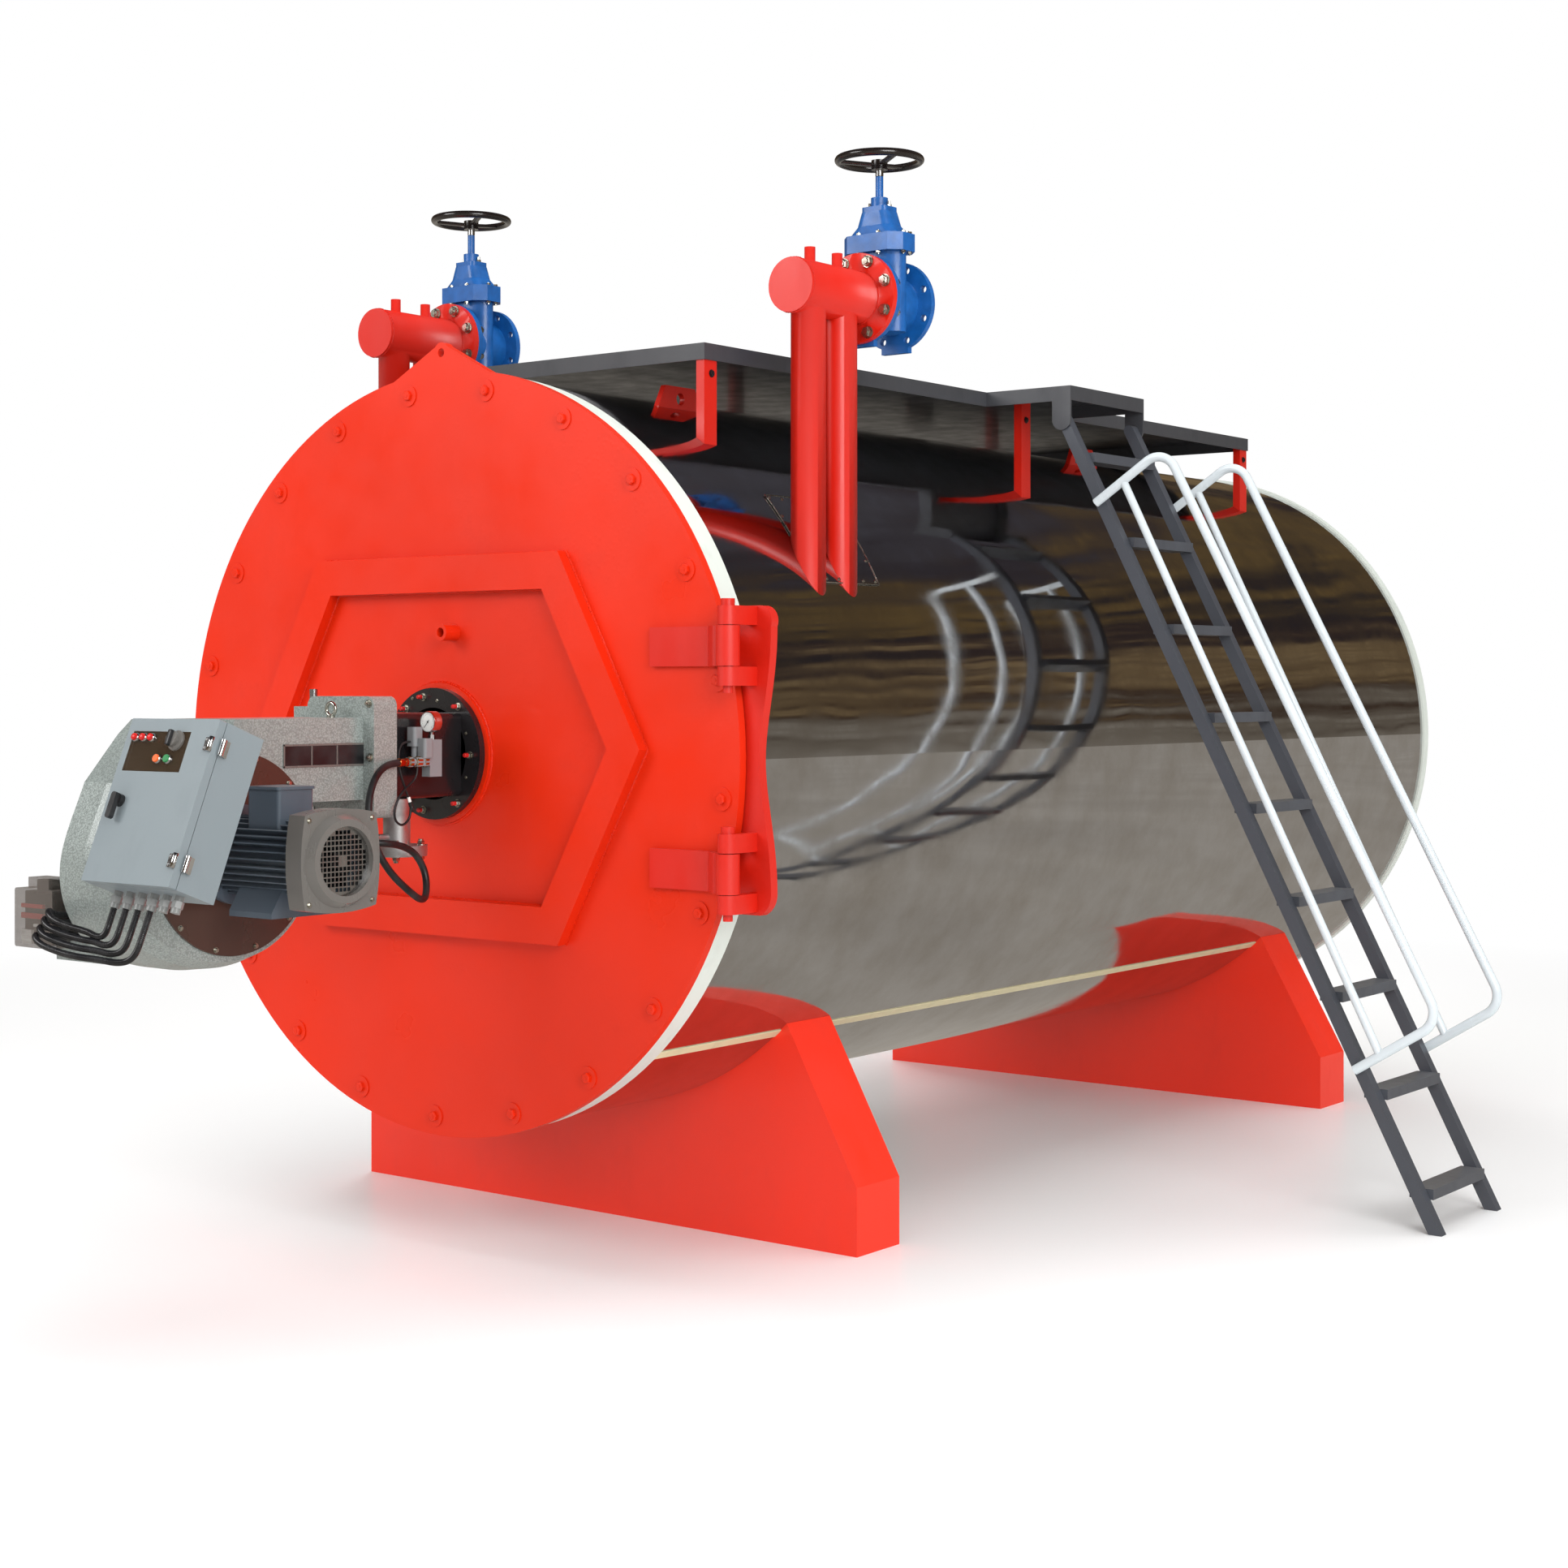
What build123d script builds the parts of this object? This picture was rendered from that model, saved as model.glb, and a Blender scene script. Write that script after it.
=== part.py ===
"""Horizontal fire-tube boiler with a hinged front door that carries its burner.

Millimetres. +X is the ladder side, +Y runs from the door to the rear, +Z is up.
The origin lies on the floor, at the middle of the front saddle's base.
"""
import math
import os

from build123d import *

os.makedirs("parts", exist_ok=True)

# Boiler body
AXIS_HEIGHT = 1560
DOOR_RADIUS = 1200
DOOR_THICKNESS = 28
DOOR_TO_SADDLE = 832
SEAL_GAP = 5
RING_WIDTH = 80
RING_RADIUS = 1194
RING_WALL = 40
SHELL_RADIUS = 1185
SHELL_WALL = 8
SHELL_LENGTH = 4770
REAR_RING_WIDTH = 45
REAR_PLATE_THICKNESS = 20
REAR_PLATE_SETBACK = 25

# Inside, seen when the door is open
TUBE_PLATE_THICKNESS = 25
TUBE_PLATE_DEPTH = 420
FURNACE_RADIUS = 430
FURNACE_WALL = 15
FURNACE_LENGTH = 3600
FURNACE_DROP = 0
TUBE_HOLE_RADIUS = 36
TUBE_CIRCLES = ((620, 11), (800, 15))
TUBE_ARC = 200

# Door furniture
DOOR_LUG_RISE = 58
DOOR_LUG_RADIUS = 32
DOOR_LUG_HOLE = 14
DOOR_LUG_HALF_BASE = 215
INSULATION_RADIUS = 1110
INSULATION_THICKNESS = 110
SOCKET_X = 60
SOCKET_HEIGHT = 378
SOCKET_RADIUS = 26
SOCKET_BORE = 15
SOCKET_LENGTH = 62
SOCKET_BORE_DEPTH = 50
HEXAGON_TOP_HALF = 533
HEXAGON_SIDE_HALF = 857
HEXAGON_HALF_HEIGHT = 591
HEXAGON_BAND = 112
HEXAGON_RISE = 40
HEXAGON_OFFSET = 25

# Door hinges
HINGE_X = 1206
HINGE_REACH = 62
KNUCKLE_RADIUS = 34
KNUCKLE_HEIGHT = 114
HINGE_HEIGHTS = (325, -318)
PIN_RADIUS = 14
PIN_CLEARANCE = 0.05
PIN_STAND = 20
LUG_BAR_HEIGHT = 54
LUG_BAR_HALF_WIDTH = 30
LUG_GAP = 2
STRAP_LENGTH = 330
STRAP_THICKNESS = 16
BRACKET_THICKNESS = 30
BRACKET_HALF_HEIGHT = 440
BRACKET_REACH = 92
BRACKET_WAIST = 50

# Saddles
SADDLE_HALF_WIDTH = 1092
SADDLE_DEPTH = 230
SADDLE_END_HEIGHT = 215
SADDLE_TOP_HALF = 818
SADDLE_SPACING = 3318

# Cladding trim
STRIP_ANGLE = 41.3
STRIP_WIDTH = 34
STRIP_THICKNESS = 3
COVER_THICKNESS = 3
COVER_SPREADS = ((3.5, 12.5), (5.5, 4.5))
COVER_FRONT = 530
COVER_LENGTH = 345

# Water headers and valves
HEADER_PLACES = ((1026, 0), (-720, -75))
RISER_RADIUS = 54
RISER_GAP = 1
RISER_SETBACKS = (554, 718)
HEADER_HEIGHT = 1430
HEADER_RADIUS = 84.15
HEADER_START = 470
HEADER_CAP = 86
HEADER_FLANGE_FACE = 826
FLANGE_RADIUS = 142.5
FLANGE_THICKNESS = 22
FLANGE_BOLT_CIRCLE = 240
FLANGE_BOLTS = 8
FLANGE_HOLE_RADIUS = 11.5
FLANGE_FOOT_WIDTH = 104
FLANGE_FOOT_DROP = 9
HEADER_BORE = 75
STUB_RADIUS = 17
STUB_HEIGHT = 42
STUB_SETBACKS = (562, 703)
VALVE_LENGTH = 210
VALVE_FLANGE_THICKNESS = 20
VALVE_BORE = 75
VALVE_WALL = 17
VALVE_BODY_HALF_WIDTH = 97
VALVE_BODY_HALF_LENGTH = 52
BONNET_BASE_HEIGHT = 156
BONNET_FLANGE_THICKNESS = 28
BONNET_FLANGE_LENGTH = 228
BONNET_FLANGE_WIDTH = 138
BONNET_CORNER = 36
BONNET_HEIGHT = 76
HOOD_FOOT = (188, 108, 34)
HOOD_WAIST = (134, 94, 32)
HOOD_HEAD = (104, 86, 28)
HOOD_WAIST_HEIGHT = 30
GLAND_FLANGE_SIZE = 96
GLAND_FLANGE_DEPTH = 76
GLAND_FLANGE_CORNER = 16
GLAND_FLANGE_THICKNESS = 16
GLAND_RADIUS = 27
GLAND_HEIGHT = 31
STEM_RADIUS = 9
SLEEVE_RADIUS = 12.5
SLEEVE_GAP = 22
WHEEL_HEIGHT = 456
WHEEL_RADIUS = 143
WHEEL_RIM_RADIUS = 12.5
WHEEL_HUB_RADIUS = 26
WHEEL_HUB_HEIGHT = 30
WHEEL_SPOKE_WIDTH = 22
WHEEL_SPOKE_THICKNESS = 12
WHEEL_DISH = 16

# Walkway
DECK_RIGHT = 690
DECK_LEFT = 620
DECK_FRONT = 462
DECK_LENGTH = 3710
DECK_TOP = 1283
DECK_TRAY = 52
DECK_SHEET = 5
DECK_RAIL_WALL = 5
LANDING_REACH = 353
POST_DEPTH = 62
POST_WIDTH = 32
POST_STARTS = (462, 2196, 4110)
MIDDLE_POST_X = 750
LIFTING_LUG_X = 400
LIFTING_LUG_STARTS = (570, 3140)
LIFTING_LUG_LENGTH = 220
LIFTING_LUG_THICKNESS = 20
LIFTING_LUG_RISE = 70
LIFTING_LUG_SLANT = 36
LIFTING_LUG_HOLE = 20

# Ladder
STRINGER_SIZE = 40
LADDER_NEAR = 2112
LADDER_WIDTH = 476
LADDER_TOP_X = 1005
LADDER_TOP_HEIGHT = 1164
LADDER_FOOT_X = 2395
TREAD_COUNT = 9
TREAD_SPACING = 308
TREAD_LOWEST = 122
TREAD_DEPTH = 82
TREAD_THICKNESS = 34
HANGER_THICKNESS = 8
HANGER_RADIUS = 38
HANDRAIL_RADIUS = 16
HANDRAIL_BEND = 75
HANDRAIL_POINTS = ((1152, 858), (1425, 1040), (2420, -867), (2127, -1050))
HANDRAIL_INNER_TOP = 0.4
HANDRAIL_INNER_FOOT = 0.3
HANDRAIL_INNER_RADIUS = 14

# Flue at the rear
FLUE_RADIUS = 225
FLUE_LENGTH = 160
FLUE_WALL = 6
FLUE_HEIGHT = 640
FLUE_FLANGE_RADIUS = 275
FLUE_FLANGE_THICKNESS = 12
FLUE_BOLT_CIRCLE = 510
FLUE_BOLTS = 12
FLUE_HOLE_RADIUS = 7
CLEANOUT_SIZE = 420
CLEANOUT_THICKNESS = 16
CLEANOUT_HEIGHT = -520

# Burner
BASE_RING_RADIUS = 222
BASE_RING_THICKNESS = 14
BURNER_FLANGE_RADIUS = 206
BURNER_FLANGE_THICKNESS = 22
NECK_HALF_WIDTH = 125
NECK_HALF_HEIGHT = 130
NECK_LENGTH = 318
HEAD_RADIUS = 150
HEAD_WALL = 6
HEAD_LENGTH = 330
PLATE_RIGHT = 176
PLATE_LEFT = 115
PLATE_HALF_HEIGHT = 181
PLATE_THICKNESS = 46
PLATE_CORNER = 30
DUCT_TOP = 118
DUCT_BOTTOM = -125
VOLUTE_SETBACK = -930
VOLUTE_DROP = -259
VOLUTE_HALF_WIDTH = 130
VOLUTE_FULL_WIDTH = 100
VOLUTE_SHOULDER = ((160, 1.0), (60, 0.965), (0, 0.9))
VOLUTE_SPIRAL = (
    (-308, 205),
    (-357, 90),
    (-388, -20),
    (-376, -125),
    (-318, -222),
    (-215, -290),
    (-110, -324),
    (0, -333),
    (110, -313),
    (210, -258),
    (284, -168),
    (322, -60),
    (324, 60),
)
VOLUTE_KINK = (-197, 335)
VOLUTE_TOP_START = -150
COVER_DISC_RADIUS = 285
COVER_DISC_THICKNESS = 8
INTAKE_LENGTH = 215
INTAKE_FRONT = -1174
INTAKE_BACK = -690
INTAKE_TOP = -505
INTAKE_BOTTOM = -564
INTAKE_BODY_LENGTH = 190
INTAKE_BODY_FRONT = -1090
INTAKE_BODY_BACK = -760
INTAKE_BODY_TOP = -140
INTAKE_CORNER = 14
DAMPER_BOX_LEFT = -330
DAMPER_BOX_RIGHT = -222
DAMPER_BOX_TOP = -362
DAMPER_BOX_FRONT = -1174
HINGE_BLOCK_WIDTH = 61
HINGE_BLOCK_TOP = 150
HINGE_BLOCK_HEIGHT = 58
HINGE_PIN_BURNER_X = -140
HINGE_PIN_BURNER_RADIUS = 12
HINGE_PIN_BURNER_RISE = 52
HINGE_PIN_COLLAR = 5
EYEBOLT_X = 40
EYEBOLT_RING = 19
EYEBOLT_WIRE = 5
EYEBOLT_COLLAR = 12
EYEBOLT_OFFSET = 45

# Fan motor
MOTOR_RADIUS = 92
MOTOR_FIN_RADIUS = 112
MOTOR_FINS = 32
MOTOR_SHIELD_RADIUS = 128
MOTOR_SHIELD_THICKNESS = 12
MOTOR_FIN_THICKNESS = 4
MOTOR_FLANGE_RADIUS = 140
MOTOR_FLANGE_THICKNESS = 20
MOTOR_LENGTH = 350
COWL_SIZE = 280
COWL_BOW = 14
COWL_DEPTH = 62
COWL_WALL = 4
BELL_RADIUS = 127
BELL_DEPTH = 24
GRILLE_RADIUS = 94
GRILLE_THICKNESS = 3
GRILLE_PITCH = 14
GRILLE_HOLE = 10.5
FAN_RADIUS = 84
FAN_HUB_RADIUS = 22
FAN_BLADES = 6
FAN_DEPTH = 32
FAN_START = 8
FAN_HUB_LENGTH = 40
FAN_DISC = 3
FAN_BLADE = 4
SHAFT_RADIUS = 14
SHAFT_LENGTH = 36
MOTOR_FOOT_HEIGHT = 158
MOTOR_FOOT_HALF = 112
MOTOR_FOOT_THICKNESS = 16
MOTOR_FOOT_SHOULDER = 66
TERMINAL_BOX = (130, 126, 104)
TERMINAL_BOX_SETBACK = -936
TERMINAL_BOX_CORNER = 10
TERMINAL_LID = 8

# Control cabinet
CABINET_RIGHT = 512
CABINET_WIDTH = 360
CABINET_HEIGHT = 454
CABINET_DEPTH = 128
CABINET_DOOR_THICKNESS = 24
CABINET_DOOR_GAP = 2
CABINET_TOP_SETBACK = -1291
CABINET_TOP_HEIGHT = 125
CABINET_TILT = 21.4
CABINET_EDGE = 4
CABINET_WALL = 3
PANEL_THICKNESS = 3
PANEL_MARGIN = 22
WINDOW_X = -38
WINDOW_HEIGHT = 135
WINDOW_WIDTH = 236
WINDOW_TALL = 112
HANDLE_PLACE = (-120, -5)
HANDLE_BASE_RADIUS = 17
HANDLE_BASE = 14
HANDLE_STEM_RADIUS = 9
HANDLE_LENGTH = 72
HANDLE_WIDTH = 20
HANDLE_THICKNESS = 14
RUNNING_GAP = 0.05
CONTROLS = (
    ((-95, 36), 10, 14),
    ((-62, 36), 10, 14),
    ((-29, 36), 10, 14),
    ((72, 30), 24, 26),
    ((20, -22), 11, 12),
    ((62, -22), 11, 12),
)
CABINET_HINGE_SPAN = 316
CABINET_HINGE_HEIGHT = 44
CABINET_HINGE_PIN = 8
CABINET_HINGE_LEAF = 22
GLAND_COUNT = 6
GLAND_SPACING = 50
GLAND_OFFSET = -4
CABLE_GLAND_RADIUS = 16
CABLE_GLAND_NECK = (12, 14)
CABLE_GLAND_NUT = 18
CABLE_GLAND_CAP = (13, 14)
BRACKET_SHEET = 4
BRACKET_ARM = 90

# Gas inlet, pilot valves and gauge
GAS_X = 84
GAS_SETBACK = -268
GAS_RADIUS = 41
GAS_BORE = 34
GAS_DROP = 140
GAS_FLANGE_RADIUS = 92.5
GAS_FLANGE_THICKNESS = 16
GAS_BOLT_CIRCLE = 145
GAS_BOLTS = 4
GAS_HOLE_RADIUS = 9
TAP_HEIGHT = -246
TAP_RADIUS = 12
TAP_REACH = 110
TAP_NUT_RADIUS = 14
TAP_NUT_LENGTH = 16
PILOT_X = 180
PILOT_LINE_X = 190
PILOT_MANIFOLD = (58, 24, 50)
PILOT_SETBACK = -214
PILOT_HEIGHT = -6
PILOT_BLOCK = (34, 50, 112)
PILOT_PIPE_RADIUS = 13
PILOT_LINE_HEIGHT = -16
PILOT_LINE_RADIUS = 11
PILOT_LINE_LENGTH = 88
PILOT_NUTS = ((8, 16), (34, 22), (70, 14))
PILOT_NUT_RADIUS = 16
COIL_RADIUS = 19
COIL_HEIGHT = 58
COIL_SETBACKS = (-252, -264)
COIL_XS = (190, 158)
COIL_HEIGHTS = (-4, 30)
CORD_SHARE = 0.45
HOSE_DIAMETER = 21
HOSE_COURSE = (
    (190, -384, -16),
    (204, -444, -32),
    (228, -500, -72),
    (250, -538, -134),
    (270, -548, -204),
    (286, -530, -276),
    (300, -490, -338),
    (306, -432, -386),
    (294, -369, -421),
    (257, -311, -414),
    (228, -284, -349),
    (221, -320, -286),
    (225, -386, -259),
    (233, -455, -250),
    (189, -501, -246),
    (126, -501, -244),
    (84, -455, -246),
)
LEAD_DIAMETER = 7
LEAD_START = (158, -283, 44)
LEAD_COURSE = (
    (158, -312, 44),
    (162, -334, 20),
    (168, -340, -22),
    (176, -334, -66),
    (182, -319, -106),
    (186, -306, -146),
    (188, -312, -184),
    (188, -342, -207),
    (188, -374, -190),
    (188, -376, -152),
    (188, -352, -112),
    (189, -318, -86),
)
LEAD_LAST_RUN = 32
LEAD_NUT = 1
CONDUIT_DIAMETER = 18
CONDUIT_COUNT = 4
CONDUIT_RUN = 41
CONDUIT_RUN_STEP = 9
CONDUIT_SETBACK = -1394
CONDUIT_SETBACK_STEP = -14
CONDUIT_WAY = (
    (85, 0, -4),
    (-8, 12, 2),
    (-88, 22, 12),
    (-152, 45, 24),
    (-205, 85, 32),
)
CONDUIT_LAST_RUN = 60
CONDUIT_END_X = -268
CONDUIT_END_STEP = 11
CONDUIT_RISE = 35
GAUGE_RADIUS = 32
GAUGE_DEPTH = 28
GAUGE_SETBACK = -216
GAUGE_CENTRE_HEIGHT = 103
GAUGE_STEM_RADIUS = 7
GAUGE_NUT_RADIUS = 11
GAUGE_NUT_HEIGHT = 14
SWITCH_LEFT = -458
SWITCH_RIGHT = -282
SWITCH_TOP = -362
SWITCH_BOTTOM = -529
SWITCH_DEPTH = 60
SWITCH_CORNER = 8
SWITCH_CAP = (-393, -298, 33)

front = -DOOR_TO_SADDLE
axis = AXIS_HEIGHT


def front_plane(setback, height=0, x=0):
    """Sketch plane that faces the door side, with X to the right and Z up."""
    return Plane(origin=(x, front + setback, axis + height), x_dir=(1, 0, 0), z_dir=(0, -1, 0))


def side_plane(x, setback=0, height=0):
    """Sketch plane that faces +X, with Y to the right and Z up."""
    return Plane(origin=(x, front + setback, axis + height), x_dir=(0, 1, 0), z_dir=(1, 0, 0))


def level_plane(height, x=0, setback=0):
    """Sketch plane that faces up, at a height above the boiler's axis."""
    return Plane(origin=(x, front + setback, axis + height), x_dir=(1, 0, 0), z_dir=(0, 0, 1))


def save(builder, name):
    """Label a finished piece and write it as its own file."""
    builder.part.label = name
    export_step(builder.part, f"parts/{name}.step")


# Boiler body
ring_start = DOOR_THICKNESS + SEAL_GAP
shell_start = ring_start + RING_WIDTH
shell_end = shell_start + SHELL_LENGTH
shell_inner = SHELL_RADIUS - SHELL_WALL
ring_inner = RING_RADIUS - RING_WALL

with BuildPart() as cladding_shell:
    with BuildSketch(front_plane(shell_start)):
        Circle(SHELL_RADIUS)
        Circle(shell_inner, mode=Mode.SUBTRACT)
    extrude(amount=-SHELL_LENGTH)
save(cladding_shell, "cladding_shell")

with BuildPart() as front_ring:
    with BuildSketch(front_plane(ring_start)):
        Circle(RING_RADIUS)
        Circle(ring_inner, mode=Mode.SUBTRACT)
    extrude(amount=-RING_WIDTH)
save(front_ring, "front_ring")

with BuildPart() as rear_ring:
    with BuildSketch(front_plane(shell_end)):
        Circle(RING_RADIUS)
        Circle(ring_inner, mode=Mode.SUBTRACT)
    extrude(amount=-REAR_RING_WIDTH)
save(rear_ring, "rear_ring")

rear_face = shell_end + REAR_RING_WIDTH - REAR_PLATE_SETBACK
with BuildPart() as rear_plate:
    with BuildSketch(front_plane(rear_face - REAR_PLATE_THICKNESS)):
        Circle(ring_inner)
        with Locations((0, FLUE_HEIGHT)):
            Circle(FLUE_RADIUS, mode=Mode.SUBTRACT)
    extrude(amount=-REAR_PLATE_THICKNESS)
save(rear_plate, "rear_plate")

with BuildPart() as flue_outlet:
    with BuildSketch(front_plane(rear_face, FLUE_HEIGHT)):
        Circle(FLUE_RADIUS + FLUE_WALL)
        Circle(FLUE_RADIUS, mode=Mode.SUBTRACT)
    extrude(amount=-FLUE_LENGTH)
    with BuildSketch(front_plane(rear_face + FLUE_LENGTH - FLUE_FLANGE_THICKNESS, FLUE_HEIGHT)):
        Circle(FLUE_FLANGE_RADIUS)
        Circle(FLUE_RADIUS, mode=Mode.SUBTRACT)
        with PolarLocations(FLUE_BOLT_CIRCLE / 2, FLUE_BOLTS, start_angle=180 / FLUE_BOLTS):
            Circle(FLUE_HOLE_RADIUS, mode=Mode.SUBTRACT)
    extrude(amount=-FLUE_FLANGE_THICKNESS)
save(flue_outlet, "flue_outlet")

with BuildPart() as rear_cleanout:
    with BuildSketch(front_plane(rear_face, CLEANOUT_HEIGHT)):
        RectangleRounded(CLEANOUT_SIZE, CLEANOUT_SIZE, CLEANOUT_SIZE / 12)
    extrude(amount=-CLEANOUT_THICKNESS)
    fillet(rear_cleanout.faces().sort_by(Axis.Y)[-1].edges(), CLEANOUT_THICKNESS / 4)
save(rear_cleanout, "rear_cleanout")

with BuildPart() as front_tube_plate:
    with BuildSketch(front_plane(TUBE_PLATE_DEPTH)):
        Circle(shell_inner)
        with Locations((0, FURNACE_DROP)):
            Circle(FURNACE_RADIUS, mode=Mode.SUBTRACT)
        for circle_radius, hole_count in TUBE_CIRCLES:
            with PolarLocations(circle_radius, hole_count, 90 - TUBE_ARC / 2, TUBE_ARC, endpoint=True):
                Circle(TUBE_HOLE_RADIUS, mode=Mode.SUBTRACT)
    extrude(amount=-TUBE_PLATE_THICKNESS)
save(front_tube_plate, "front_tube_plate")

furnace_start = TUBE_PLATE_DEPTH + TUBE_PLATE_THICKNESS
with BuildPart() as furnace_tube:
    with BuildSketch(front_plane(furnace_start, FURNACE_DROP)):
        Circle(FURNACE_RADIUS + FURNACE_WALL)
        Circle(FURNACE_RADIUS, mode=Mode.SUBTRACT)
    extrude(amount=-FURNACE_LENGTH)
    with BuildSketch(front_plane(furnace_start + FURNACE_LENGTH - FURNACE_WALL, FURNACE_DROP)):
        Circle(FURNACE_RADIUS)
    extrude(amount=-FURNACE_WALL)
save(furnace_tube, "furnace_tube")

# Saddles: a plate box with straight ends, sloping cheeks and a cradle cut to the shell
saddle_top = axis - math.sqrt(SHELL_RADIUS**2 - SADDLE_TOP_HALF**2)


def saddle(name, centre_y):
    """One saddle, cut to the cladding it carries."""
    with BuildPart() as piece:
        with BuildSketch(Plane(origin=(0, centre_y - SADDLE_DEPTH / 2, 0), x_dir=(1, 0, 0), z_dir=(0, -1, 0))):
            with BuildLine():
                Polyline(
                    (-SADDLE_HALF_WIDTH, 0),
                    (SADDLE_HALF_WIDTH, 0),
                    (SADDLE_HALF_WIDTH, SADDLE_END_HEIGHT),
                    (SADDLE_TOP_HALF, saddle_top),
                    (-SADDLE_TOP_HALF, saddle_top),
                    (-SADDLE_HALF_WIDTH, SADDLE_END_HEIGHT),
                    close=True,
                )
            make_face()
            with Locations((0, axis)):
                Circle(SHELL_RADIUS, mode=Mode.SUBTRACT)
        extrude(amount=-SADDLE_DEPTH)
    save(piece, name)


saddle("front_saddle", 0)
saddle("rear_saddle", SADDLE_SPACING)

# Strips that close the cladding's two lengthwise seams
with BuildPart() as seam_strips:
    for side in (-1, 1):
        strip_plane = Plane(
            origin=(
                side * SHELL_RADIUS * math.sin(math.radians(STRIP_ANGLE)),
                front + shell_start,
                axis - SHELL_RADIUS * math.cos(math.radians(STRIP_ANGLE)),
            ),
            x_dir=(side * math.cos(math.radians(STRIP_ANGLE)), 0, math.sin(math.radians(STRIP_ANGLE))),
            z_dir=(0, 1, 0),
        )
        with BuildSketch(strip_plane):
            Rectangle(STRIP_WIDTH, STRIP_THICKNESS * 2)
        extrude(amount=DOOR_TO_SADDLE - SADDLE_DEPTH / 2 - shell_start)
        with BuildSketch(strip_plane.offset(DOOR_TO_SADDLE + SADDLE_DEPTH / 2 - shell_start)):
            Rectangle(STRIP_WIDTH, STRIP_THICKNESS * 2)
        extrude(amount=SADDLE_SPACING - SADDLE_DEPTH)
    with BuildSketch(front_plane(shell_start)):
        Circle(SHELL_RADIUS)
    extrude(amount=-SHELL_LENGTH, mode=Mode.SUBTRACT)
save(seam_strips, "seam_strips")

# Water headers: a capped pipe on two risers, with two vent stubs and a flange
header_length = HEADER_FLANGE_FACE - HEADER_START

with BuildPart() as pipe_covers:
    for (x, ahead), (under, over) in zip(HEADER_PLACES, COVER_SPREADS):
        side = math.copysign(1, x)
        with BuildSketch(front_plane(COVER_FRONT + ahead)):
            Circle(SHELL_RADIUS + COVER_THICKNESS)
            Circle(SHELL_RADIUS, mode=Mode.SUBTRACT)
            with BuildLine():
                middle = math.degrees(math.acos(abs(x) / SHELL_RADIUS))
                low, high = math.radians(middle - under), math.radians(middle + over)
                reach = SHELL_RADIUS * 1.2
                Polyline(
                    (0, 0),
                    (side * reach * math.cos(low), reach * math.sin(low)),
                    (side * reach * math.cos(high), reach * math.sin(high)),
                    close=True,
                )
            make_face(mode=Mode.INTERSECT)
        extrude(amount=-COVER_LENGTH)
        for setback in RISER_SETBACKS:
            with BuildSketch(level_plane(0, x, setback + ahead)):
                Circle(RISER_RADIUS + RISER_GAP)
            extrude(amount=SHELL_RADIUS, mode=Mode.SUBTRACT)
save(pipe_covers, "pipe_covers")

with BuildPart() as headers:
    for x, ahead in HEADER_PLACES:
        for setback in RISER_SETBACKS:
            with BuildSketch(level_plane(0, x, setback + ahead)):
                Circle(RISER_RADIUS)
            extrude(amount=HEADER_HEIGHT)
    with BuildSketch(front_plane(0)):
        Circle(SHELL_RADIUS)
    extrude(amount=-shell_end, mode=Mode.SUBTRACT)
    for x, ahead in HEADER_PLACES:
        with BuildSketch(front_plane(HEADER_START + ahead, HEADER_HEIGHT, x)):
            Circle(HEADER_RADIUS)
        extrude(amount=-header_length)
        with BuildSketch(side_plane(x, HEADER_START + ahead, HEADER_HEIGHT)):
            Ellipse(HEADER_CAP, HEADER_RADIUS)
            Rectangle(HEADER_CAP, HEADER_RADIUS, align=(Align.MAX, Align.MIN), mode=Mode.INTERSECT)
        revolve(axis=Axis((x, front, axis + HEADER_HEIGHT), (0, 1, 0)))
        for setback in STUB_SETBACKS:
            with BuildSketch(level_plane(HEADER_HEIGHT, x, setback + ahead)):
                Circle(STUB_RADIUS)
            extrude(amount=HEADER_RADIUS + STUB_HEIGHT)
        with BuildSketch(front_plane(HEADER_FLANGE_FACE + ahead - FLANGE_THICKNESS, HEADER_HEIGHT, x)):
            Circle(FLANGE_RADIUS)
            with PolarLocations(FLANGE_BOLT_CIRCLE / 2, FLANGE_BOLTS, start_angle=180 / FLANGE_BOLTS):
                Circle(FLANGE_HOLE_RADIUS, mode=Mode.SUBTRACT)
        extrude(amount=-FLANGE_THICKNESS)
        with BuildSketch(front_plane(HEADER_FLANGE_FACE + ahead, HEADER_HEIGHT, x)):
            Circle(HEADER_BORE)
        extrude(amount=header_length, mode=Mode.SUBTRACT)
save(headers, "headers")

# Gate valves: two flanges, the waterway, the oval gate chamber and the bonnet
valve_centre = HEADER_FLANGE_FACE + VALVE_LENGTH / 2
valve_end = HEADER_FLANGE_FACE + VALVE_LENGTH
bonnet_base = HEADER_HEIGHT + BONNET_BASE_HEIGHT + BONNET_FLANGE_THICKNESS
hood_base = bonnet_base + BONNET_FLANGE_THICKNESS
hood_top = hood_base + BONNET_HEIGHT
gland_top = hood_top + GLAND_FLANGE_THICKNESS + GLAND_HEIGHT
hub_base = HEADER_HEIGHT + WHEEL_HEIGHT - WHEEL_DISH - WHEEL_HUB_HEIGHT / 2

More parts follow.
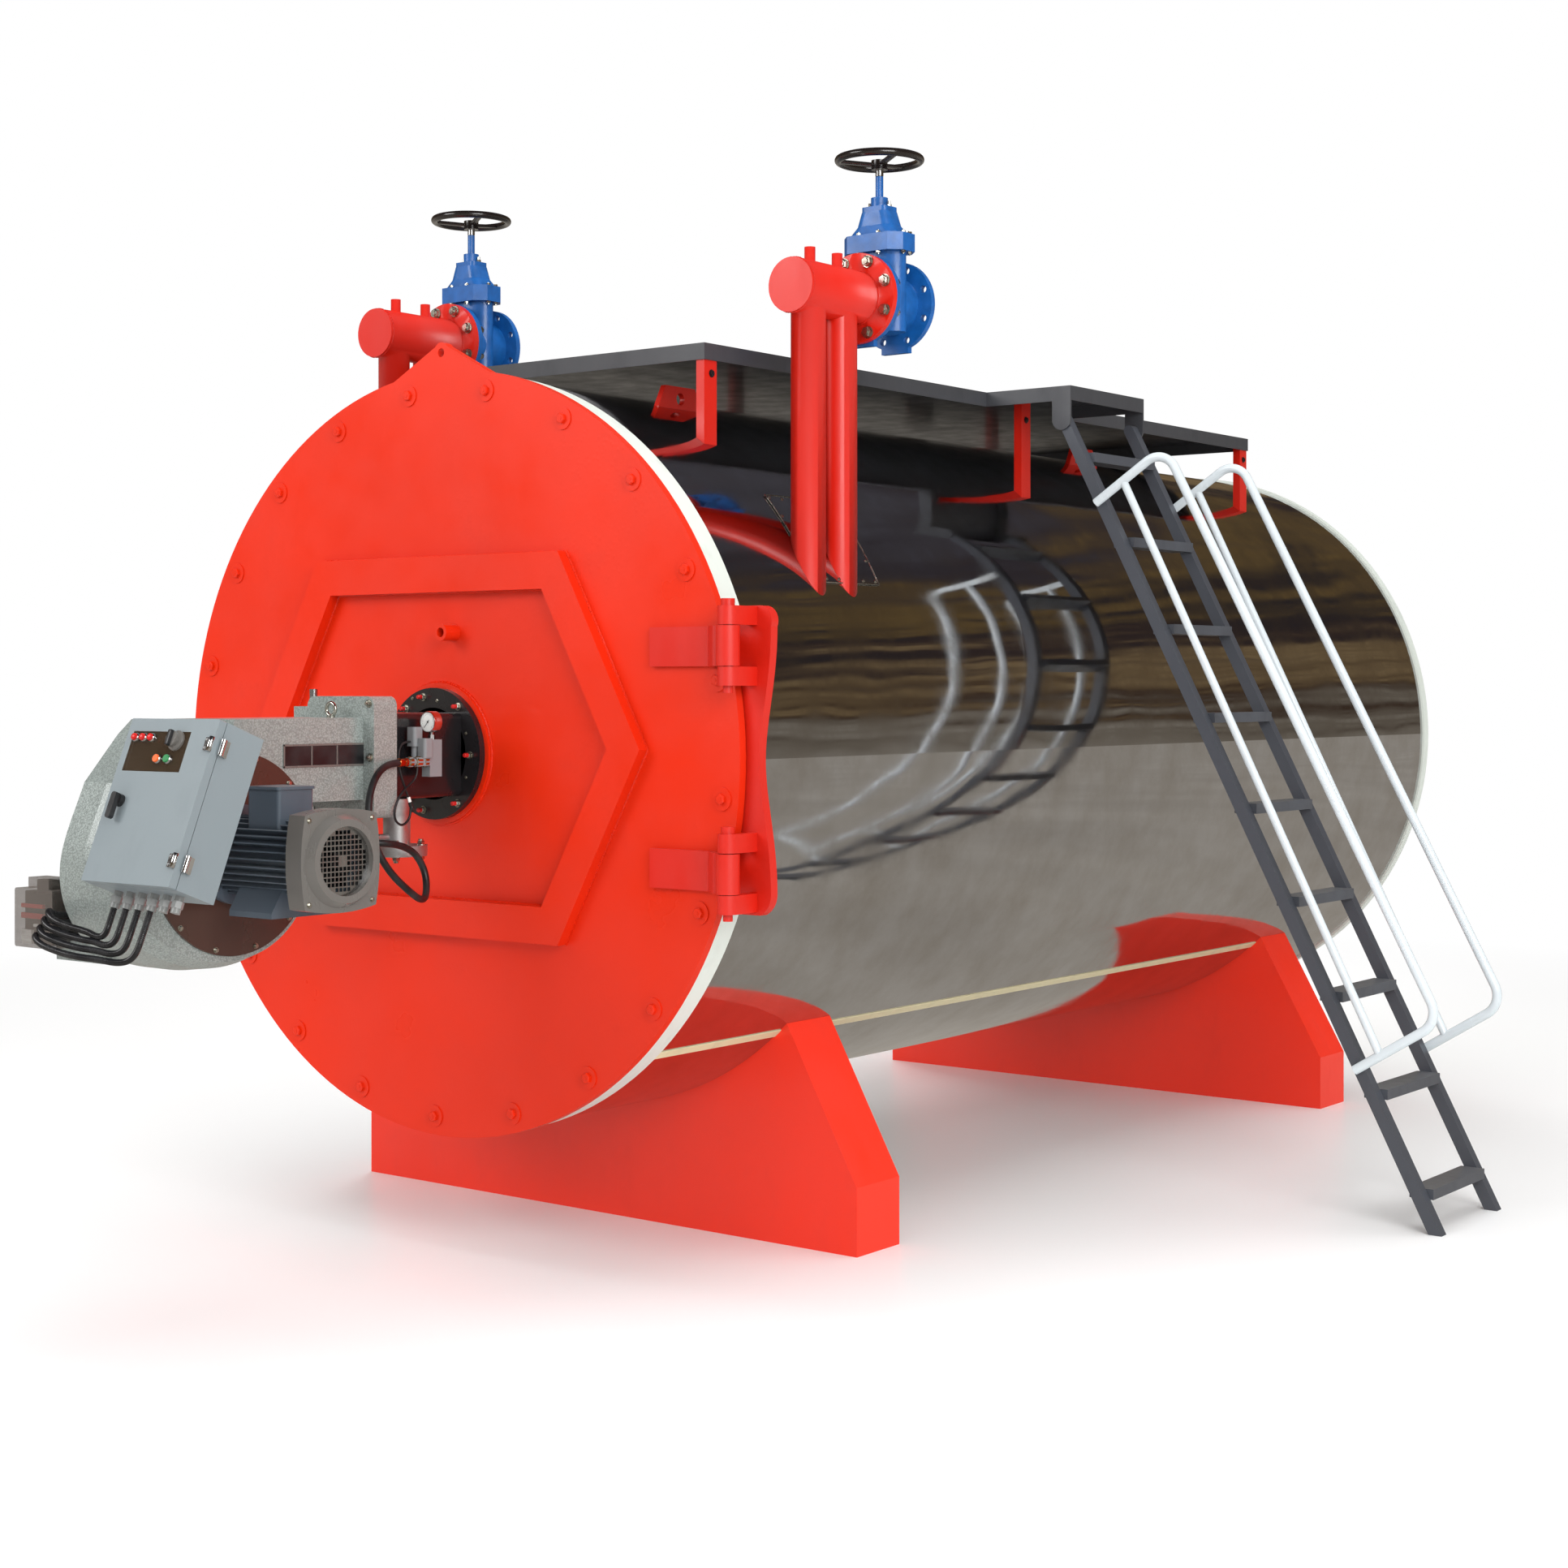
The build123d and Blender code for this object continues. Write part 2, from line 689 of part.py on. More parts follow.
with BuildPart() as valve_bodies:
    for x, ahead in HEADER_PLACES:
        for face in (HEADER_FLANGE_FACE, valve_end - VALVE_FLANGE_THICKNESS):
            with BuildSketch(front_plane(face + ahead, HEADER_HEIGHT, x)):
                Circle(FLANGE_RADIUS)
                Rectangle(FLANGE_FOOT_WIDTH, FLANGE_RADIUS + FLANGE_FOOT_DROP, align=(Align.CENTER, Align.MAX))
                with PolarLocations(FLANGE_BOLT_CIRCLE / 2, FLANGE_BOLTS, start_angle=180 / FLANGE_BOLTS):
                    Circle(FLANGE_HOLE_RADIUS, mode=Mode.SUBTRACT)
            extrude(amount=-VALVE_FLANGE_THICKNESS)
        with BuildSketch(front_plane(HEADER_FLANGE_FACE + ahead + VALVE_FLANGE_THICKNESS, HEADER_HEIGHT, x)):
            Circle(VALVE_BORE + VALVE_WALL)
        extrude(amount=-(VALVE_LENGTH - 2 * VALVE_FLANGE_THICKNESS))
        with BuildSketch(level_plane(HEADER_HEIGHT - VALVE_BODY_HALF_WIDTH, x, valve_centre + ahead)):
            Ellipse(VALVE_BODY_HALF_WIDTH, VALVE_BODY_HALF_LENGTH)
        extrude(amount=VALVE_BODY_HALF_WIDTH + BONNET_BASE_HEIGHT)
        lower_flange_plane = level_plane(bonnet_base - BONNET_FLANGE_THICKNESS, x, valve_centre + ahead)
        with BuildSketch(lower_flange_plane) as lower_flange:
            Rectangle(BONNET_FLANGE_LENGTH, BONNET_FLANGE_WIDTH)
            chamfer(lower_flange.vertices(), BONNET_CORNER)
        extrude(amount=BONNET_FLANGE_THICKNESS)
        with BuildSketch(front_plane(HEADER_FLANGE_FACE + ahead, HEADER_HEIGHT, x)):
            Circle(VALVE_BORE)
        extrude(amount=-VALVE_LENGTH, mode=Mode.SUBTRACT)
save(valve_bodies, "valve_bodies")

with BuildPart() as valve_bonnets:
    for x, ahead in HEADER_PLACES:
        middle = valve_centre + ahead
        with BuildSketch(level_plane(bonnet_base, x, middle)) as upper_flange:
            Rectangle(BONNET_FLANGE_LENGTH, BONNET_FLANGE_WIDTH)
            chamfer(upper_flange.vertices(), BONNET_CORNER)
        extrude(amount=BONNET_FLANGE_THICKNESS)
        with BuildSketch(level_plane(hood_base, x, middle)):
            RectangleRounded(*HOOD_FOOT)
        with BuildSketch(level_plane(hood_base + HOOD_WAIST_HEIGHT, x, middle)):
            RectangleRounded(*HOOD_WAIST)
        loft()
        with BuildSketch(level_plane(hood_base + HOOD_WAIST_HEIGHT, x, middle)):
            RectangleRounded(*HOOD_WAIST)
        with BuildSketch(level_plane(hood_top, x, middle)):
            RectangleRounded(*HOOD_HEAD)
        loft()
        with BuildSketch(level_plane(hood_top, x, middle)):
            RectangleRounded(GLAND_FLANGE_SIZE, GLAND_FLANGE_DEPTH, GLAND_FLANGE_CORNER)
        extrude(amount=GLAND_FLANGE_THICKNESS)
        with BuildSketch(level_plane(hood_top + GLAND_FLANGE_THICKNESS, x, middle)):
            Circle(GLAND_RADIUS)
        extrude(amount=GLAND_HEIGHT)
        with BuildSketch(level_plane(gland_top, x, middle)):
            Circle(SLEEVE_RADIUS)
        extrude(amount=hub_base - SLEEVE_GAP - gland_top)
        with BuildSketch(level_plane(hood_base, x, middle)):
            Circle(STEM_RADIUS + PIN_CLEARANCE)
        extrude(amount=WHEEL_HEIGHT, mode=Mode.SUBTRACT)
save(valve_bonnets, "valve_bonnets")


def handwheel(name, x, ahead):
    """Handwheel with three dished spokes on its turning, non-rising stem."""
    middle = valve_centre + ahead
    rim_middle = WHEEL_RADIUS - WHEEL_RIM_RADIUS
    with BuildPart() as piece:
        with BuildSketch(level_plane(hood_base, x, middle)):
            Circle(STEM_RADIUS)
        extrude(amount=hub_base - hood_base)
        with BuildSketch(level_plane(hub_base, x, middle)):
            Circle(WHEEL_HUB_RADIUS)
        extrude(amount=WHEEL_HUB_HEIGHT)
        with BuildSketch(side_plane(x, middle, HEADER_HEIGHT + WHEEL_HEIGHT)):
            with Locations((rim_middle, 0)):
                Circle(WHEEL_RIM_RADIUS)
        revolve(axis=Axis((x, front + middle, axis), (0, 0, 1)))
        for spoke in range(3):
            angle = math.radians(90 + 120 * spoke)
            outward = Vector(math.cos(angle), math.sin(angle), 0)
            start = Vector(x, front + middle, axis + HEADER_HEIGHT + WHEEL_HEIGHT - WHEEL_DISH)
            run = outward * rim_middle + Vector(0, 0, WHEEL_DISH)
            with BuildSketch(Plane(origin=start, x_dir=Vector(-outward.Y, outward.X, 0), z_dir=run)):
                SlotOverall(WHEEL_SPOKE_WIDTH, WHEEL_SPOKE_THICKNESS)
            extrude(amount=run.length)
    save(piece, name)


handwheel("handwheel_right", *HEADER_PLACES[0])
handwheel("handwheel_left", *HEADER_PLACES[1])

# Walkway: a folded tray with a landing at the ladder, on posts that stand on the shell
deck_bottom = DECK_TOP - DECK_TRAY
ladder_sides = (LADDER_NEAR, LADDER_NEAR + LADDER_WIDTH)
ladder_middle = LADDER_NEAR + LADDER_WIDTH / 2
landing_length = LADDER_WIDTH + STRINGER_SIZE + 2 * HANGER_THICKNESS

with BuildPart() as walkway_deck:
    with BuildSketch(level_plane(deck_bottom)) as deck_outline:
        with Locations(((DECK_RIGHT - DECK_LEFT) / 2, DECK_FRONT + DECK_LENGTH / 2)):
            Rectangle(DECK_RIGHT + DECK_LEFT, DECK_LENGTH)
        with Locations((DECK_RIGHT + LANDING_REACH / 2, ladder_middle)):
            Rectangle(LANDING_REACH, landing_length)
    extrude(amount=DECK_TRAY)
    with BuildSketch(level_plane(deck_bottom)):
        add(offset(deck_outline.sketch_local, -DECK_RAIL_WALL, mode=Mode.PRIVATE))
    extrude(amount=DECK_TRAY - DECK_SHEET, mode=Mode.SUBTRACT)
    for setback, outward in zip(ladder_sides, (-1, 1)):
        hanger_face = setback + outward * STRINGER_SIZE / 2 + (HANGER_THICKNESS if outward > 0 else 0)
        with BuildSketch(front_plane(hanger_face, LADDER_TOP_HEIGHT, LADDER_TOP_X)):
            Circle(HANGER_RADIUS)
            Rectangle(2 * HANGER_RADIUS, DECK_TOP - DECK_SHEET - LADDER_TOP_HEIGHT, align=(Align.CENTER, Align.MIN))
        extrude(amount=HANGER_THICKNESS)
save(walkway_deck, "walkway_deck")

deck_end = DECK_FRONT + DECK_LENGTH
post_inset = DECK_RAIL_WALL + POST_WIDTH / 2
right_post_xs = (DECK_RIGHT - post_inset, MIDDLE_POST_X, DECK_RIGHT - post_inset)
lug_crest = math.sqrt(SHELL_RADIUS**2 - LIFTING_LUG_X**2)
with BuildPart() as walkway_posts:
    for setback, right_x in zip(POST_STARTS, right_post_xs):
        post_middle = min(setback + DECK_RAIL_WALL, deck_end - DECK_RAIL_WALL - POST_DEPTH) + POST_DEPTH / 2
        with BuildSketch(level_plane(0, 0, post_middle)):
            with Locations((right_x, 0), (post_inset - DECK_LEFT, 0)):
                Rectangle(POST_WIDTH, POST_DEPTH)
        extrude(amount=DECK_TOP - DECK_SHEET)
    with BuildSketch(front_plane(shell_start)):
        Circle(SHELL_RADIUS)
    extrude(amount=-SHELL_LENGTH, mode=Mode.SUBTRACT)
save(walkway_posts, "walkway_posts")

with BuildPart() as lifting_lugs:
    for setback in LIFTING_LUG_STARTS:
        for side in (-1, 1):
            lug_side = side * LIFTING_LUG_X - LIFTING_LUG_THICKNESS / 2
            with BuildSketch(side_plane(lug_side, setback, lug_crest)):
                with BuildLine():
                    Polyline(
                        (0, -LIFTING_LUG_THICKNESS),
                        (LIFTING_LUG_LENGTH, -LIFTING_LUG_THICKNESS),
                        (LIFTING_LUG_LENGTH, 0),
                        (LIFTING_LUG_LENGTH - LIFTING_LUG_SLANT, LIFTING_LUG_RISE),
                        (LIFTING_LUG_SLANT, LIFTING_LUG_RISE),
                        (0, 0),
                        close=True,
                    )
                make_face()
                with Locations((LIFTING_LUG_LENGTH / 2, LIFTING_LUG_RISE - 2 * LIFTING_LUG_HOLE)):
                    Circle(LIFTING_LUG_HOLE, mode=Mode.SUBTRACT)
            extrude(amount=LIFTING_LUG_THICKNESS)
    with BuildSketch(front_plane(shell_start)):
        Circle(SHELL_RADIUS)
    extrude(amount=-SHELL_LENGTH, mode=Mode.SUBTRACT)
save(lifting_lugs, "lifting_lugs")

# Ladder: two square-tube stringers hung from plates under the landing
ladder_fall = LADDER_TOP_HEIGHT + axis
ladder_run = LADDER_FOOT_X - LADDER_TOP_X
ladder_slope = ladder_run / ladder_fall
ladder_down = Vector(ladder_run, 0, -ladder_fall).normalized()
ladder_out = Vector(ladder_fall, 0, ladder_run).normalized()


def ladder_point(setback, height):
    """Point on a stringer's middle line at a height above the floor."""
    return Vector(LADDER_FOOT_X - height * ladder_slope, front + setback, height)


with BuildPart() as ladder_stringers:
    for setback in ladder_sides:
        top = ladder_point(setback, LADDER_TOP_HEIGHT + axis)
        foot = ladder_point(setback, -STRINGER_SIZE)
        with BuildSketch(Plane(origin=top, x_dir=(0, 1, 0), z_dir=ladder_down)):
            Rectangle(STRINGER_SIZE, STRINGER_SIZE)
        extrude(amount=(foot - top).length)
        with BuildSketch(Plane(origin=(top.X, top.Y - STRINGER_SIZE / 2, top.Z), x_dir=(1, 0, 0), z_dir=(0, -1, 0))):
            Circle(STRINGER_SIZE / 2)
        extrude(amount=-STRINGER_SIZE)
    with BuildSketch(Plane.XY.offset(-2 * STRINGER_SIZE)):
        with Locations((LADDER_FOOT_X, 0)):
            Rectangle(20 * STRINGER_SIZE, 10 * DOOR_RADIUS)
    extrude(amount=2 * STRINGER_SIZE, mode=Mode.SUBTRACT)
save(ladder_stringers, "ladder_stringers")

with BuildPart() as ladder_treads:
    tread_span = LADDER_WIDTH - STRINGER_SIZE
    for index in range(TREAD_COUNT):
        middle = ladder_point(ladder_middle, TREAD_LOWEST + index * TREAD_SPACING)
        with BuildSketch(Plane(origin=middle - Vector(0, 0, TREAD_THICKNESS / 2), x_dir=(1, 0, 0), z_dir=(0, 0, 1))):
            Rectangle(TREAD_DEPTH, tread_span)
        extrude(amount=TREAD_THICKNESS)
save(ladder_treads, "ladder_treads")

with BuildPart() as handrails:
    for setback, outward in zip(ladder_sides, (-1, 1)):
        rail_y = front + setback + outward * (STRINGER_SIZE / 2 + HANDRAIL_RADIUS)
        bends = [Vector(x, rail_y, axis + height) for x, height in HANDRAIL_POINTS]
        with BuildLine() as rail_path:
            FilletPolyline(*bends, radius=HANDRAIL_BEND)
        with BuildSketch(Plane(origin=bends[0], x_dir=(0, 1, 0), z_dir=bends[1] - bends[0])):
            Circle(HANDRAIL_RADIUS)
        sweep(path=rail_path.wires()[0])
        inner_top = bends[0] + (bends[1] - bends[0]) * HANDRAIL_INNER_TOP
        inner_foot = bends[3] + (bends[2] - bends[3]) * HANDRAIL_INNER_FOOT
        with BuildSketch(Plane(origin=inner_top, x_dir=(0, 1, 0), z_dir=inner_foot - inner_top)):
            Circle(HANDRAIL_INNER_RADIUS)
        extrude(amount=(inner_foot - inner_top).length)
save(handrails, "handrails")

# Door: one round plate with a lifting lug, hinged on its right
with BuildPart() as door_plate:
    with BuildSketch(front_plane(0)):
        Circle(DOOR_RADIUS)
        with BuildLine():
            lug_height = DOOR_RADIUS + DOOR_LUG_RISE
            lug_foot = math.sqrt(DOOR_RADIUS**2 - DOOR_LUG_HALF_BASE**2)
            shoulder = DOOR_LUG_RADIUS * 0.8
            Polyline(
                (-DOOR_LUG_HALF_BASE, lug_foot - 1),
                (DOOR_LUG_HALF_BASE, lug_foot - 1),
                (shoulder, lug_height + shoulder * 0.75),
                (-shoulder, lug_height + shoulder * 0.75),
                close=True,
            )
        make_face()
        with Locations((0, lug_height)):
            Circle(DOOR_LUG_RADIUS)
            Circle(DOOR_LUG_HOLE, mode=Mode.SUBTRACT)
    extrude(amount=-DOOR_THICKNESS)
    with BuildSketch(front_plane(0)):
        Circle(BASE_RING_RADIUS)
    extrude(amount=BASE_RING_THICKNESS)
    with BuildSketch(front_plane(-BASE_RING_THICKNESS)):
        Circle(HEAD_RADIUS + 2)
    extrude(amount=-(BASE_RING_THICKNESS + DOOR_THICKNESS), mode=Mode.SUBTRACT)
    with BuildSketch(front_plane(0, SOCKET_HEIGHT, SOCKET_X)):
        Circle(SOCKET_RADIUS)
    extrude(amount=SOCKET_LENGTH)
    with BuildSketch(front_plane(-SOCKET_LENGTH, SOCKET_HEIGHT, SOCKET_X)):
        Circle(SOCKET_BORE)
    extrude(amount=-SOCKET_BORE_DEPTH, mode=Mode.SUBTRACT)
save(door_plate, "door_plate")

with BuildPart() as door_insulation:
    with BuildSketch(front_plane(DOOR_THICKNESS)):
        Circle(INSULATION_RADIUS)
        Circle(HEAD_RADIUS + 2, mode=Mode.SUBTRACT)
    extrude(amount=-INSULATION_THICKNESS)
save(door_insulation, "door_insulation")


def hexagon_points(inset):
    """Corners of the stretched hexagon, moved inwards by the band's width."""
    top = HEXAGON_HALF_HEIGHT - inset
    slope = (HEXAGON_SIDE_HALF - HEXAGON_TOP_HALF) / HEXAGON_HALF_HEIGHT
    side_half = HEXAGON_SIDE_HALF - inset * math.sqrt(1 + slope**2)
    top_half = side_half - slope * top
    return [
        (-top_half, top),
        (top_half, top),
        (side_half, 0),
        (top_half, -top),
        (-top_half, -top),
        (-side_half, 0),
    ]


with BuildPart() as hexagon_frame:
    with BuildSketch(front_plane(0, HEXAGON_OFFSET)):
        with BuildLine():
            Polyline(*hexagon_points(0), close=True)
        make_face()
        with BuildLine():
            Polyline(*hexagon_points(HEXAGON_BAND), close=True)
        make_face(mode=Mode.SUBTRACT)
    extrude(amount=HEXAGON_RISE)
save(hexagon_frame, "hexagon_frame")

# Hinges: straps on the door, lugs on the bow bracket, one pin each
with BuildPart() as hinge_straps:
    for height in HINGE_HEIGHTS:
        strap_bottom = height - KNUCKLE_HEIGHT / 2
        with BuildSketch(level_plane(strap_bottom, HINGE_X, -HINGE_REACH)):
            with BuildLine():
                Polyline(
                    (-STRAP_LENGTH, HINGE_REACH),
                    (-STRAP_LENGTH, HINGE_REACH - STRAP_THICKNESS),
                    (-STRAP_LENGTH / 3, HINGE_REACH - STRAP_THICKNESS),
                    (-KNUCKLE_RADIUS * 1.6, STRAP_THICKNESS / 2 - 10),
                    (0, STRAP_THICKNESS / 2 - 10),
                    (0, STRAP_THICKNESS * 1.5 - 10),
                    (-KNUCKLE_RADIUS * 1.3, STRAP_THICKNESS * 1.5 - 10),
                    (-STRAP_LENGTH / 3.3, HINGE_REACH),
                    close=True,
                )
            make_face()
        extrude(amount=KNUCKLE_HEIGHT)
        with BuildSketch(level_plane(strap_bottom, HINGE_X, -HINGE_REACH)):
            Circle(KNUCKLE_RADIUS)
        extrude(amount=KNUCKLE_HEIGHT)
        with BuildSketch(level_plane(strap_bottom, HINGE_X, -HINGE_REACH)):
            Circle(PIN_RADIUS + PIN_CLEARANCE)
        extrude(amount=KNUCKLE_HEIGHT, mode=Mode.SUBTRACT)
save(hinge_straps, "hinge_straps")

bracket_face = ring_start
with BuildPart() as hinge_bracket:
    with BuildSketch(front_plane(bracket_face)):
        with BuildLine():
            edge_x = RING_RADIUS + BRACKET_REACH
            waist_x = RING_RADIUS + BRACKET_WAIST
            half = BRACKET_HALF_HEIGHT
            inner_x = RING_RADIUS * 0.9
            top_run = Line((inner_x, half), (edge_x - 40, half))
            top_corner = TangentArc(top_run @ 1, (edge_x, half - 60), tangent=top_run % 1)
            bow = Spline(
                (edge_x, half - 60),
                (waist_x, 0),
                (edge_x, -half + 60),
                tangents=((0, -1), (0, -1)),
            )
            bottom_corner = TangentArc(bow @ 1, (edge_x - 40, -half), tangent=bow % 1)
            Polyline((edge_x - 40, -half), (inner_x, -half), (inner_x, half))
        make_face()
        Circle(RING_RADIUS, mode=Mode.SUBTRACT)
    extrude(amount=-BRACKET_THICKNESS)
    for height in HINGE_HEIGHTS:
        for end in (-1, 1):
            lug_middle = height + end * (KNUCKLE_HEIGHT / 2 + LUG_GAP + LUG_BAR_HEIGHT / 2)
            with BuildSketch(level_plane(lug_middle - LUG_BAR_HEIGHT / 2, HINGE_X, -HINGE_REACH)):
                Circle(LUG_BAR_HALF_WIDTH)
                with Locations((LUG_BAR_HALF_WIDTH / 2, (HINGE_REACH + bracket_face) / 2)):
                    Rectangle(LUG_BAR_HALF_WIDTH, HINGE_REACH + bracket_face)
            extrude(amount=LUG_BAR_HEIGHT)
            with BuildSketch(level_plane(lug_middle - LUG_BAR_HEIGHT / 2, HINGE_X, -HINGE_REACH)):
                Circle(PIN_RADIUS)
            extrude(amount=LUG_BAR_HEIGHT, mode=Mode.SUBTRACT)
save(hinge_bracket, "hinge_bracket")

with BuildPart() as hinge_pins:
    for height in HINGE_HEIGHTS:
        half_pin = KNUCKLE_HEIGHT / 2 + LUG_GAP + LUG_BAR_HEIGHT + PIN_STAND
        with BuildSketch(level_plane(height - half_pin, HINGE_X, -HINGE_REACH)):
            Circle(PIN_RADIUS)
        extrude(amount=2 * half_pin)
        with BuildSketch(level_plane(height + half_pin - PIN_STAND, HINGE_X, -HINGE_REACH)):
            Circle(PIN_RADIUS + 6)
        extrude(amount=PIN_STAND)
save(hinge_pins, "hinge_pins")

# Burner: round flange, neck, hinge plates and the cast fan housing
flange_face = -BASE_RING_THICKNESS - BURNER_FLANGE_THICKNESS
neck_end = flange_face - NECK_LENGTH
plate_end = neck_end - PLATE_THICKNESS
housing_start = plate_end - PLATE_THICKNESS

with BuildPart() as burner_flange:
    with BuildSketch(front_plane(-BASE_RING_THICKNESS)):
        Circle(BURNER_FLANGE_RADIUS)
        Circle(HEAD_RADIUS - HEAD_WALL, mode=Mode.SUBTRACT)
    extrude(amount=BURNER_FLANGE_THICKNESS)
save(burner_flange, "burner_flange")

with BuildPart() as burner_head:
    with BuildSketch(front_plane(-BASE_RING_THICKNESS)):
        Circle(HEAD_RADIUS)
        Circle(HEAD_RADIUS - HEAD_WALL, mode=Mode.SUBTRACT)
    extrude(amount=-(BASE_RING_THICKNESS + DOOR_THICKNESS + HEAD_LENGTH))
save(burner_head, "burner_head")

with BuildPart() as burner_neck:
    with BuildSketch(front_plane(flange_face)):
        RectangleRounded(2 * NECK_HALF_WIDTH, 2 * NECK_HALF_HEIGHT, 20)
    extrude(amount=NECK_LENGTH)
save(burner_neck, "burner_neck")



def hinged_plate(start):
    """Square plate of the burner's swing joint, with the hinge block on its left."""
    with BuildPart() as plate:
        with BuildSketch(front_plane(start)):
            with Locations(((PLATE_RIGHT - PLATE_LEFT) / 2, 0)):
                RectangleRounded(PLATE_RIGHT + PLATE_LEFT, 2 * PLATE_HALF_HEIGHT, PLATE_CORNER)
            with Locations((-PLATE_LEFT, HINGE_BLOCK_TOP - HINGE_BLOCK_HEIGHT / 2)):
                Rectangle(HINGE_BLOCK_WIDTH, HINGE_BLOCK_HEIGHT, align=(Align.MAX, Align.CENTER))
        extrude(amount=PLATE_THICKNESS)
        with BuildSketch(level_plane(HINGE_BLOCK_TOP - HINGE_BLOCK_HEIGHT, HINGE_PIN_BURNER_X, plate_end)):
            Circle(HINGE_PIN_BURNER_RADIUS + PIN_CLEARANCE)
        extrude(amount=HINGE_BLOCK_HEIGHT, mode=Mode.SUBTRACT)
    return plate.part


with BuildPart() as burner_plate:
    add(hinged_plate(neck_end))
save(burner_plate, "burner_plate")


def volute_outline(share):
    """Spiral of the fan housing round its centre, closed across the duct, at a share of full size."""
    duct_top, duct_bottom = DUCT_TOP - VOLUTE_DROP, DUCT_BOTTOM - VOLUTE_DROP
    closing = [
        VOLUTE_SPIRAL[-1],
        (VOLUTE_SPIRAL[-1][0], duct_bottom),
        (0, duct_top),
        (VOLUTE_TOP_START, duct_top),
        VOLUTE_KINK,
        VOLUTE_SPIRAL[0],
    ]
    Spline(*[(along * share, height * share) for along, height in VOLUTE_SPIRAL])
    Polyline(*[(along * share, height * share) for along, height in closing])


duct_length = housing_start - VOLUTE_SETBACK
with BuildPart() as burner_housing:
    add(hinged_plate(plate_end))
    with BuildSketch(side_plane(-VOLUTE_HALF_WIDTH, VOLUTE_SETBACK, VOLUTE_DROP)):
        with BuildLine():
            volute_outline(1)
        make_face()
    extrude(amount=VOLUTE_FULL_WIDTH)
    for (far, far_share), (near, near_share) in zip(VOLUTE_SHOULDER, VOLUTE_SHOULDER[1:]):
        with BuildSketch(side_plane(VOLUTE_HALF_WIDTH - far, VOLUTE_SETBACK, VOLUTE_DROP)):
            with BuildLine():
                volute_outline(far_share)
            make_face()
        with BuildSketch(side_plane(VOLUTE_HALF_WIDTH - near, VOLUTE_SETBACK, VOLUTE_DROP)):
            with BuildLine():
                volute_outline(near_share)
            make_face()
        loft()
    with BuildSketch(side_plane(-VOLUTE_HALF_WIDTH, VOLUTE_SETBACK, VOLUTE_DROP)):
        with Locations((0, DUCT_BOTTOM - VOLUTE_DROP)):
            Rectangle(duct_length, DUCT_TOP - DUCT_BOTTOM, align=(Align.MIN, Align.MIN))
    extrude(amount=2 * VOLUTE_HALF_WIDTH)
    eye_setback = housing_start - EYEBOLT_OFFSET
    with BuildSketch(level_plane(DUCT_TOP, EYEBOLT_X, eye_setback)):
        Circle(EYEBOLT_COLLAR)
    extrude(amount=EYEBOLT_WIRE)
    eye_middle = DUCT_TOP + EYEBOLT_RING + EYEBOLT_WIRE
    with BuildSketch(level_plane(eye_middle, EYEBOLT_X, eye_setback)):
        with Locations((EYEBOLT_RING, 0)):
            Circle(EYEBOLT_WIRE)
    revolve(axis=Axis((EYEBOLT_X, front + eye_setback, axis + eye_middle), (0, 1, 0)))
save(burner_housing, "burner_housing")

with BuildPart() as volute_cover:
    with BuildSketch(side_plane(VOLUTE_HALF_WIDTH, VOLUTE_SETBACK, VOLUTE_DROP)):
        Circle(COVER_DISC_RADIUS)
    extrude(amount=COVER_DISC_THICKNESS)
save(volute_cover, "volute_cover")

with BuildPart() as air_intake:
    tray_middle = (INTAKE_FRONT + INTAKE_BACK) / 2
    with BuildSketch(level_plane(INTAKE_BOTTOM, -VOLUTE_HALF_WIDTH, tray_middle)):
        Rectangle(INTAKE_LENGTH, INTAKE_BACK - INTAKE_FRONT, align=(Align.MAX, Align.CENTER))
    extrude(amount=INTAKE_TOP - INTAKE_BOTTOM)
    body_middle = (INTAKE_BODY_FRONT + INTAKE_BODY_BACK) / 2
    with BuildSketch(side_plane(-VOLUTE_HALF_WIDTH, body_middle, INTAKE_TOP)) as body_outline:
        Rectangle(
            INTAKE_BODY_BACK - INTAKE_BODY_FRONT,
            INTAKE_BODY_TOP - INTAKE_TOP,
            align=(Align.CENTER, Align.MIN),
        )
        fillet(body_outline.vertices().sort_by(Axis.Z)[2:], INTAKE_CORNER)
    extrude(amount=-INTAKE_BODY_LENGTH)
save(air_intake, "air_intake")

damper_middle = (DAMPER_BOX_LEFT + DAMPER_BOX_RIGHT) / 2
with BuildPart() as damper_drive:
    with BuildSketch(front_plane(INTAKE_BODY_FRONT, (INTAKE_TOP + DAMPER_BOX_TOP) / 2, damper_middle)):
        Rectangle(DAMPER_BOX_RIGHT - DAMPER_BOX_LEFT, DAMPER_BOX_TOP - INTAKE_TOP)
    extrude(amount=INTAKE_BODY_FRONT - DAMPER_BOX_FRONT)
save(damper_drive, "damper_drive")

# Fan motor beside the volute, its axis across the boiler
motor_x = VOLUTE_HALF_WIDTH + COVER_DISC_THICKNESS
frame_x = motor_x + MOTOR_FLANGE_THICKNESS
cowl_x = frame_x + MOTOR_LENGTH
motor_axis = Axis((0, front + VOLUTE_SETBACK, axis + VOLUTE_DROP), (1, 0, 0))

